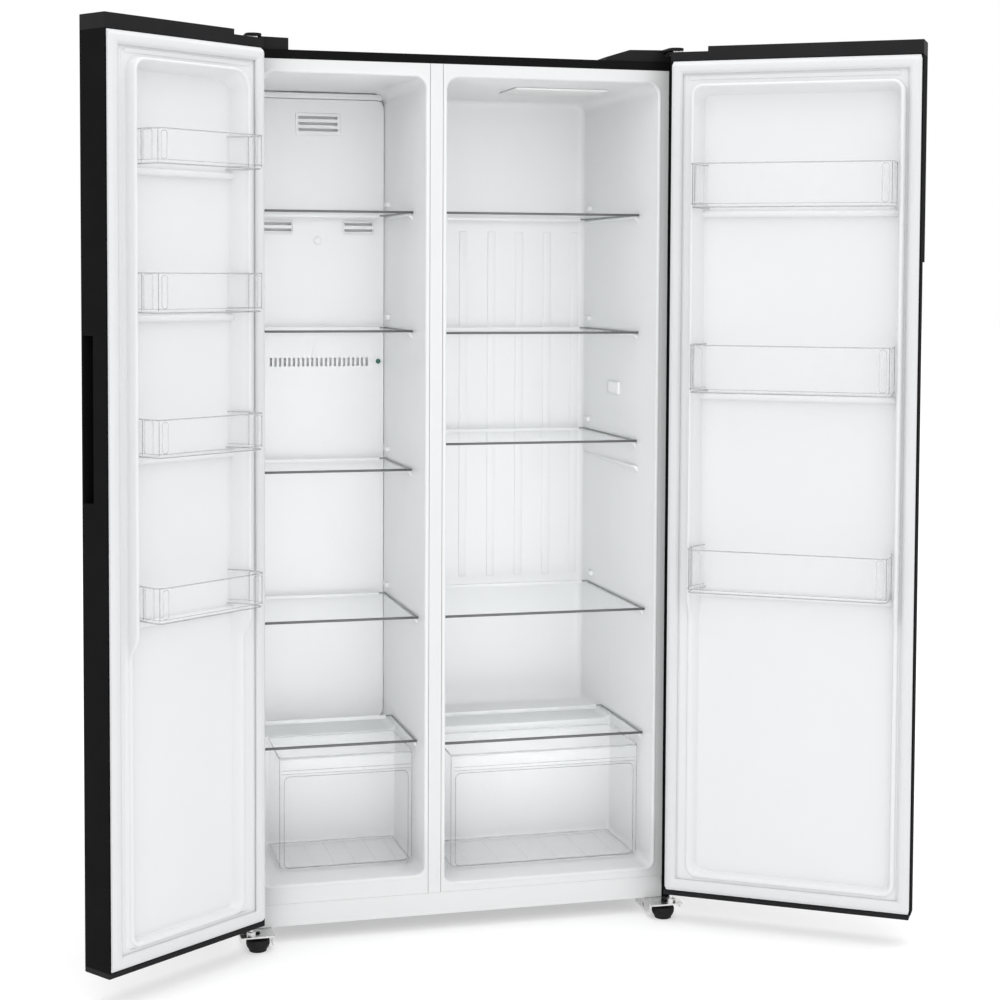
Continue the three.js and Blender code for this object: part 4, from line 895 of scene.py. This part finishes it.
def freezer_fittings(bay):
    """Header strip, air duct plate and green plug of the freezer, and the trims on its cover."""
    low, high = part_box("evaporator_cover")
    header = Shape()
    y = low.y + 2 * MM
    header.block((low.x + 3 * MM, high.x - 3 * MM), (y, y + 10 * MM),
                 (high.z + 1 * MM, high.z + 14 * MM), 2.5 * MM, 3)
    middle = (low.x + high.x) / 2
    header.block((middle - 45 * MM, middle + 30 * MM), (y - 2 * MM, y + 3 * MM),
                 (high.z + 9 * MM, high.z + 13 * MM), 1.5 * MM, 3)
    header.object("freezer_header_strip", LOOKS["white"], "cabinet", "white_plastic")
    duct = Shape()
    depth = low.y - bay.front + 14.5 * MM
    duct.loft([bay.ring(depth + d * MM, STEP_TOP, -inset * MM) for d, inset in
               ((0.0, 0.6), (0.4, 0.2), (1.6, 0.2), (2, 0.6))])
    duct.object("freezer_air_duct", LOOKS["white"], "cabinet", "white_plastic")
    plug = Shape().lathe(millimetres(PLUG_PROFILE), (PLUG[0], low.y + 3 * MM, PLUG[1]), "y", 20)
    plug.object("freezer_green_plug", LOOKS["green"], "cabinet", "white_plastic")
    trims = Shape()
    for x in LOW_VENTS:
        outline = round_rect(x - 34 * MM, x + 34 * MM, *LOW_VENT_Z, 3 * MM, corner=6)
        ridge(trims, outline, lambda px, v, pz: (px, low.y + v, pz), millimetres(VENT_FRAME))
    trims.lathe(millimetres(BOSS_PROFILE), (sum(LOW_VENTS) / 2, low.y, BOSS_Z), "y", 28)
    trims.object("evaporator_cover_trims", LOOKS["white"], "cabinet", "white_plastic", smooth=40)


GLIDE_TOP = 25 * MM       # top of a foot's glide, under its screw
THREAD_PITCH = 1.25 * MM
GRIP_RIBS = 18


def feet():
    """Black glides with a ribbed grip and a threaded stem."""
    for hand in ("left", "right"):
        node = f"front_foot_{hand}"
        low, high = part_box(node)
        cx, cy = (low.x + high.x) / 2, (low.y + high.y) / 2
        r, top = (high.x - low.x) / 2, GLIDE_TOP
        profile = [(0.1 * MM, 0), (r - 8 * MM, 0), (r - 6 * MM, 1 * MM), (r - 5.2 * MM, 4.4 * MM),
                   (r - 5 * MM, 5 * MM), (r - 2 * MM, 9 * MM), (r - 0.6 * MM, 13 * MM), (r, 14 * MM),
                   (r, top - 4 * MM), (r - 1.5 * MM, top - 1 * MM), (r - 4 * MM, top), (9 * MM, top),
                   (8.4 * MM, top + 1.6 * MM), (4.6 * MM, top + 2 * MM)]
        turns = int((high.z - top - 3 * MM) / THREAD_PITCH)
        for i in range(turns):
            thread = top + 2.4 * MM + i * THREAD_PITCH
            profile += [(4.3 * MM, thread), (3.6 * MM, thread + THREAD_PITCH / 2)]
        profile += [(3.6 * MM, high.z), (0.1 * MM, high.z)]
        foot = Shape().lathe(profile, (cx, cy, 0), sides=40)
        for k in range(GRIP_RIBS):
            a = 2 * math.pi * k / GRIP_RIBS
            x, y = cx + (r - 0.7 * MM) * math.cos(a), cy + (r - 0.7 * MM) * math.sin(a)
            upright(foot, x, y, 14.4 * MM, top - 4 * MM, 0.7 * MM)
        foot.object(f"{node}_glide", LOOKS["black"], node, "black_plastic", [node], smooth=35)


SCREW_PROFILE = ((0.1, 1.2), (1.3, 1.15), (1.35, 0.5), (1.9, 0.5), (2.0, 1.4), (3.2, 1.1), (3.9, 0.4),
                 (4.1, -1.2), (0.1, -1.2))


def screws(name, places):
    """Recessed pan heads in the back of the cabinet."""
    shape = Shape()
    for place in places:
        shape.lathe(millimetres(SCREW_PROFILE), place, axis="y", sides=16)
    shape.object(name, LOOKS["screw"], "cabinet", "zinc_plated", smooth=40)


BACK_BEADS = 6
BACK_SCREW_ROWS = 7


def rear_details():
    """Pressed beads on the back sheet, its screws, and the screws of the machine bay cover."""
    low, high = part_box("back_panel")
    width = high.x - low.x
    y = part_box("outer_case")[1].y - 0.3 * MM
    beads = Shape()
    for i in range(BACK_BEADS):
        x = low.x + width * (i + 0.5) / BACK_BEADS
        beads.block((x - 8 * MM, x + 8 * MM), (y - 1 * MM, y + 3 * MM),
                    (low.z + 220 * MM, high.z - 90 * MM), 2.6 * MM, 4)
    for z in (low.z + 110 * MM, low.z + 180 * MM, high.z - 50 * MM):
        beads.block((low.x + 60 * MM, high.x - 60 * MM), (y - 1 * MM, y + 2.4 * MM),
                    (z - 5 * MM, z + 5 * MM), 2.2 * MM, 4)
    beads.object("back_panel_beads", LOOKS["galvanised"], "cabinet", "galvanised_steel")
    edge = 14 * MM
    pitch = (high.z - low.z - 60 * MM) / (BACK_SCREW_ROWS - 1)
    places = [(x, y, low.z + 30 * MM + i * pitch) for x in (low.x + edge, high.x - edge)
              for i in range(BACK_SCREW_ROWS)]
    places += [(low.x + width * t, y, high.z - edge) for t in (0.25, 0.5, 0.75)]
    screws("back_panel_screws", places)
    low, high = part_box("machine_bay_cover")
    width = high.x - low.x
    screws("bay_cover_screws", [(low.x + width * t, y, z) for t in (0.02, 0.25, 0.5, 0.75, 0.98)
                                for z in (low.z + 12 * MM, high.z - 9 * MM)])


def cabinet():
    bays = {side: Bay(side) for side in SIDES}
    front_frame()
    for side, bay in bays.items():
        cabinet_liner(bay)
        for index in range(1, SHELVES + 1):
            shelf(bay, index)
    for node in ("freezer_drawer", "crisper_drawer"):
        drawer(node)
    fridge_fittings(bays["fridge"])
    freezer_fittings(bays["freezer"])
    feet()
    rear_details()


# ---------------------------------------------------------------- stage, light and camera


def stage():
    """A white world and a pale floor without end."""
    world = bpy.data.worlds.new("studio")
    bpy.context.scene.world = world
    world.use_nodes = True
    background = world.node_tree.nodes["Background"]
    background.inputs["Color"].default_value = (1.0, 1.0, 1.0, 1)
    background.inputs["Strength"].default_value = 1.0
    size = 40
    mesh = bpy.data.meshes.new("floor")
    mesh.from_pydata([(-size, -size, 0), (size, -size, 0), (size, size, 0), (-size, size, 0)], [],
                     [[0, 1, 2, 3]])
    paper = look("pale_floor", (0.62, 0.62, 0.62), 0.8, specular=0.05, shade=0.01, bump=0.0)
    shader = paper.node_tree.nodes["Principled BSDF"]
    shader.inputs["Emission Color"].default_value = (1, 1, 1, 1)
    shader.inputs["Emission Strength"].default_value = 0.42
    mesh.materials.append(paper)
    linked("floor", mesh)


def softbox(name, location, target, size, power, spread=180):
    """A rectangular lamp that faces target."""
    light = bpy.data.lights.new(name, "AREA")
    light.shape = "RECTANGLE"
    light.size, light.size_y = size
    light.energy = power
    light.spread = math.radians(spread)
    box = linked(name, light)
    box.location = location
    box.rotation_euler = (Vector(target) - Vector(location)).to_track_quat("-Z", "Y").to_euler()


GLOW = 2.8                # watts for each metre of a bay's width
SKY = 0.45


def lights():
    """Studio light from above and the left, and a soft glow into each compartment."""
    softbox("key", (-2.6, -4.2, 3.4), (0, 0, 0.9), (2.4, 2.4), 12)
    softbox("overhead", (0, 0.5, 5.5), (0, 0.5, 0), (7, 7), 150)
    sky = bpy.data.lights.new("sky", "SUN")
    sky.energy = SKY
    sky.angle = math.radians(120)
    linked("sky", sky)
    for side in SIDES:
        bay = Bay(side)
        width = bay.x1 - bay.x0
        x, z = (bay.x0 + bay.x1) / 2, (bay.z0 + bay.z1) / 2 + 35 * MM
        softbox(f"{side}_glow", (x, bay.front - 30 * MM, z), (x, 1, z), (width - 20 * MM, 1.5),
                GLOW * width, 105)


CAMERA_PLACE = (-0.968, -3.888, 1.324)
CAMERA_YAW = 14.63
CAMERA_PITCH = 2.97
CAMERA_ROLL = 0.277
CAMERA_LENS = 70.4
CAMERA_SHIFT = -0.125


def light_paths():
    """Enough steps for light to pass the glass and the clear plastic that stand behind each other."""
    bpy.context.scene.cycles.transparent_max_bounces = 32


def camera():
    data = bpy.data.cameras.new("camera")
    data.lens = CAMERA_LENS
    data.sensor_width = 36
    data.shift_y = CAMERA_SHIFT
    eye = linked("camera", data)
    turn = (Matrix.Rotation(math.radians(-CAMERA_YAW), 4, "Z")
            @ Matrix.Rotation(math.radians(90 - CAMERA_PITCH), 4, "X")
            @ Matrix.Rotation(math.radians(CAMERA_ROLL), 4, "Z"))
    eye.matrix_world = Matrix.Translation(CAMERA_PLACE) @ turn
    bpy.context.scene.camera = eye
    bpy.context.scene.view_settings.view_transform = "Standard"


camera()
stage()
lights()
light_paths()
dress_cad_nodes()
doors()
cabinet()
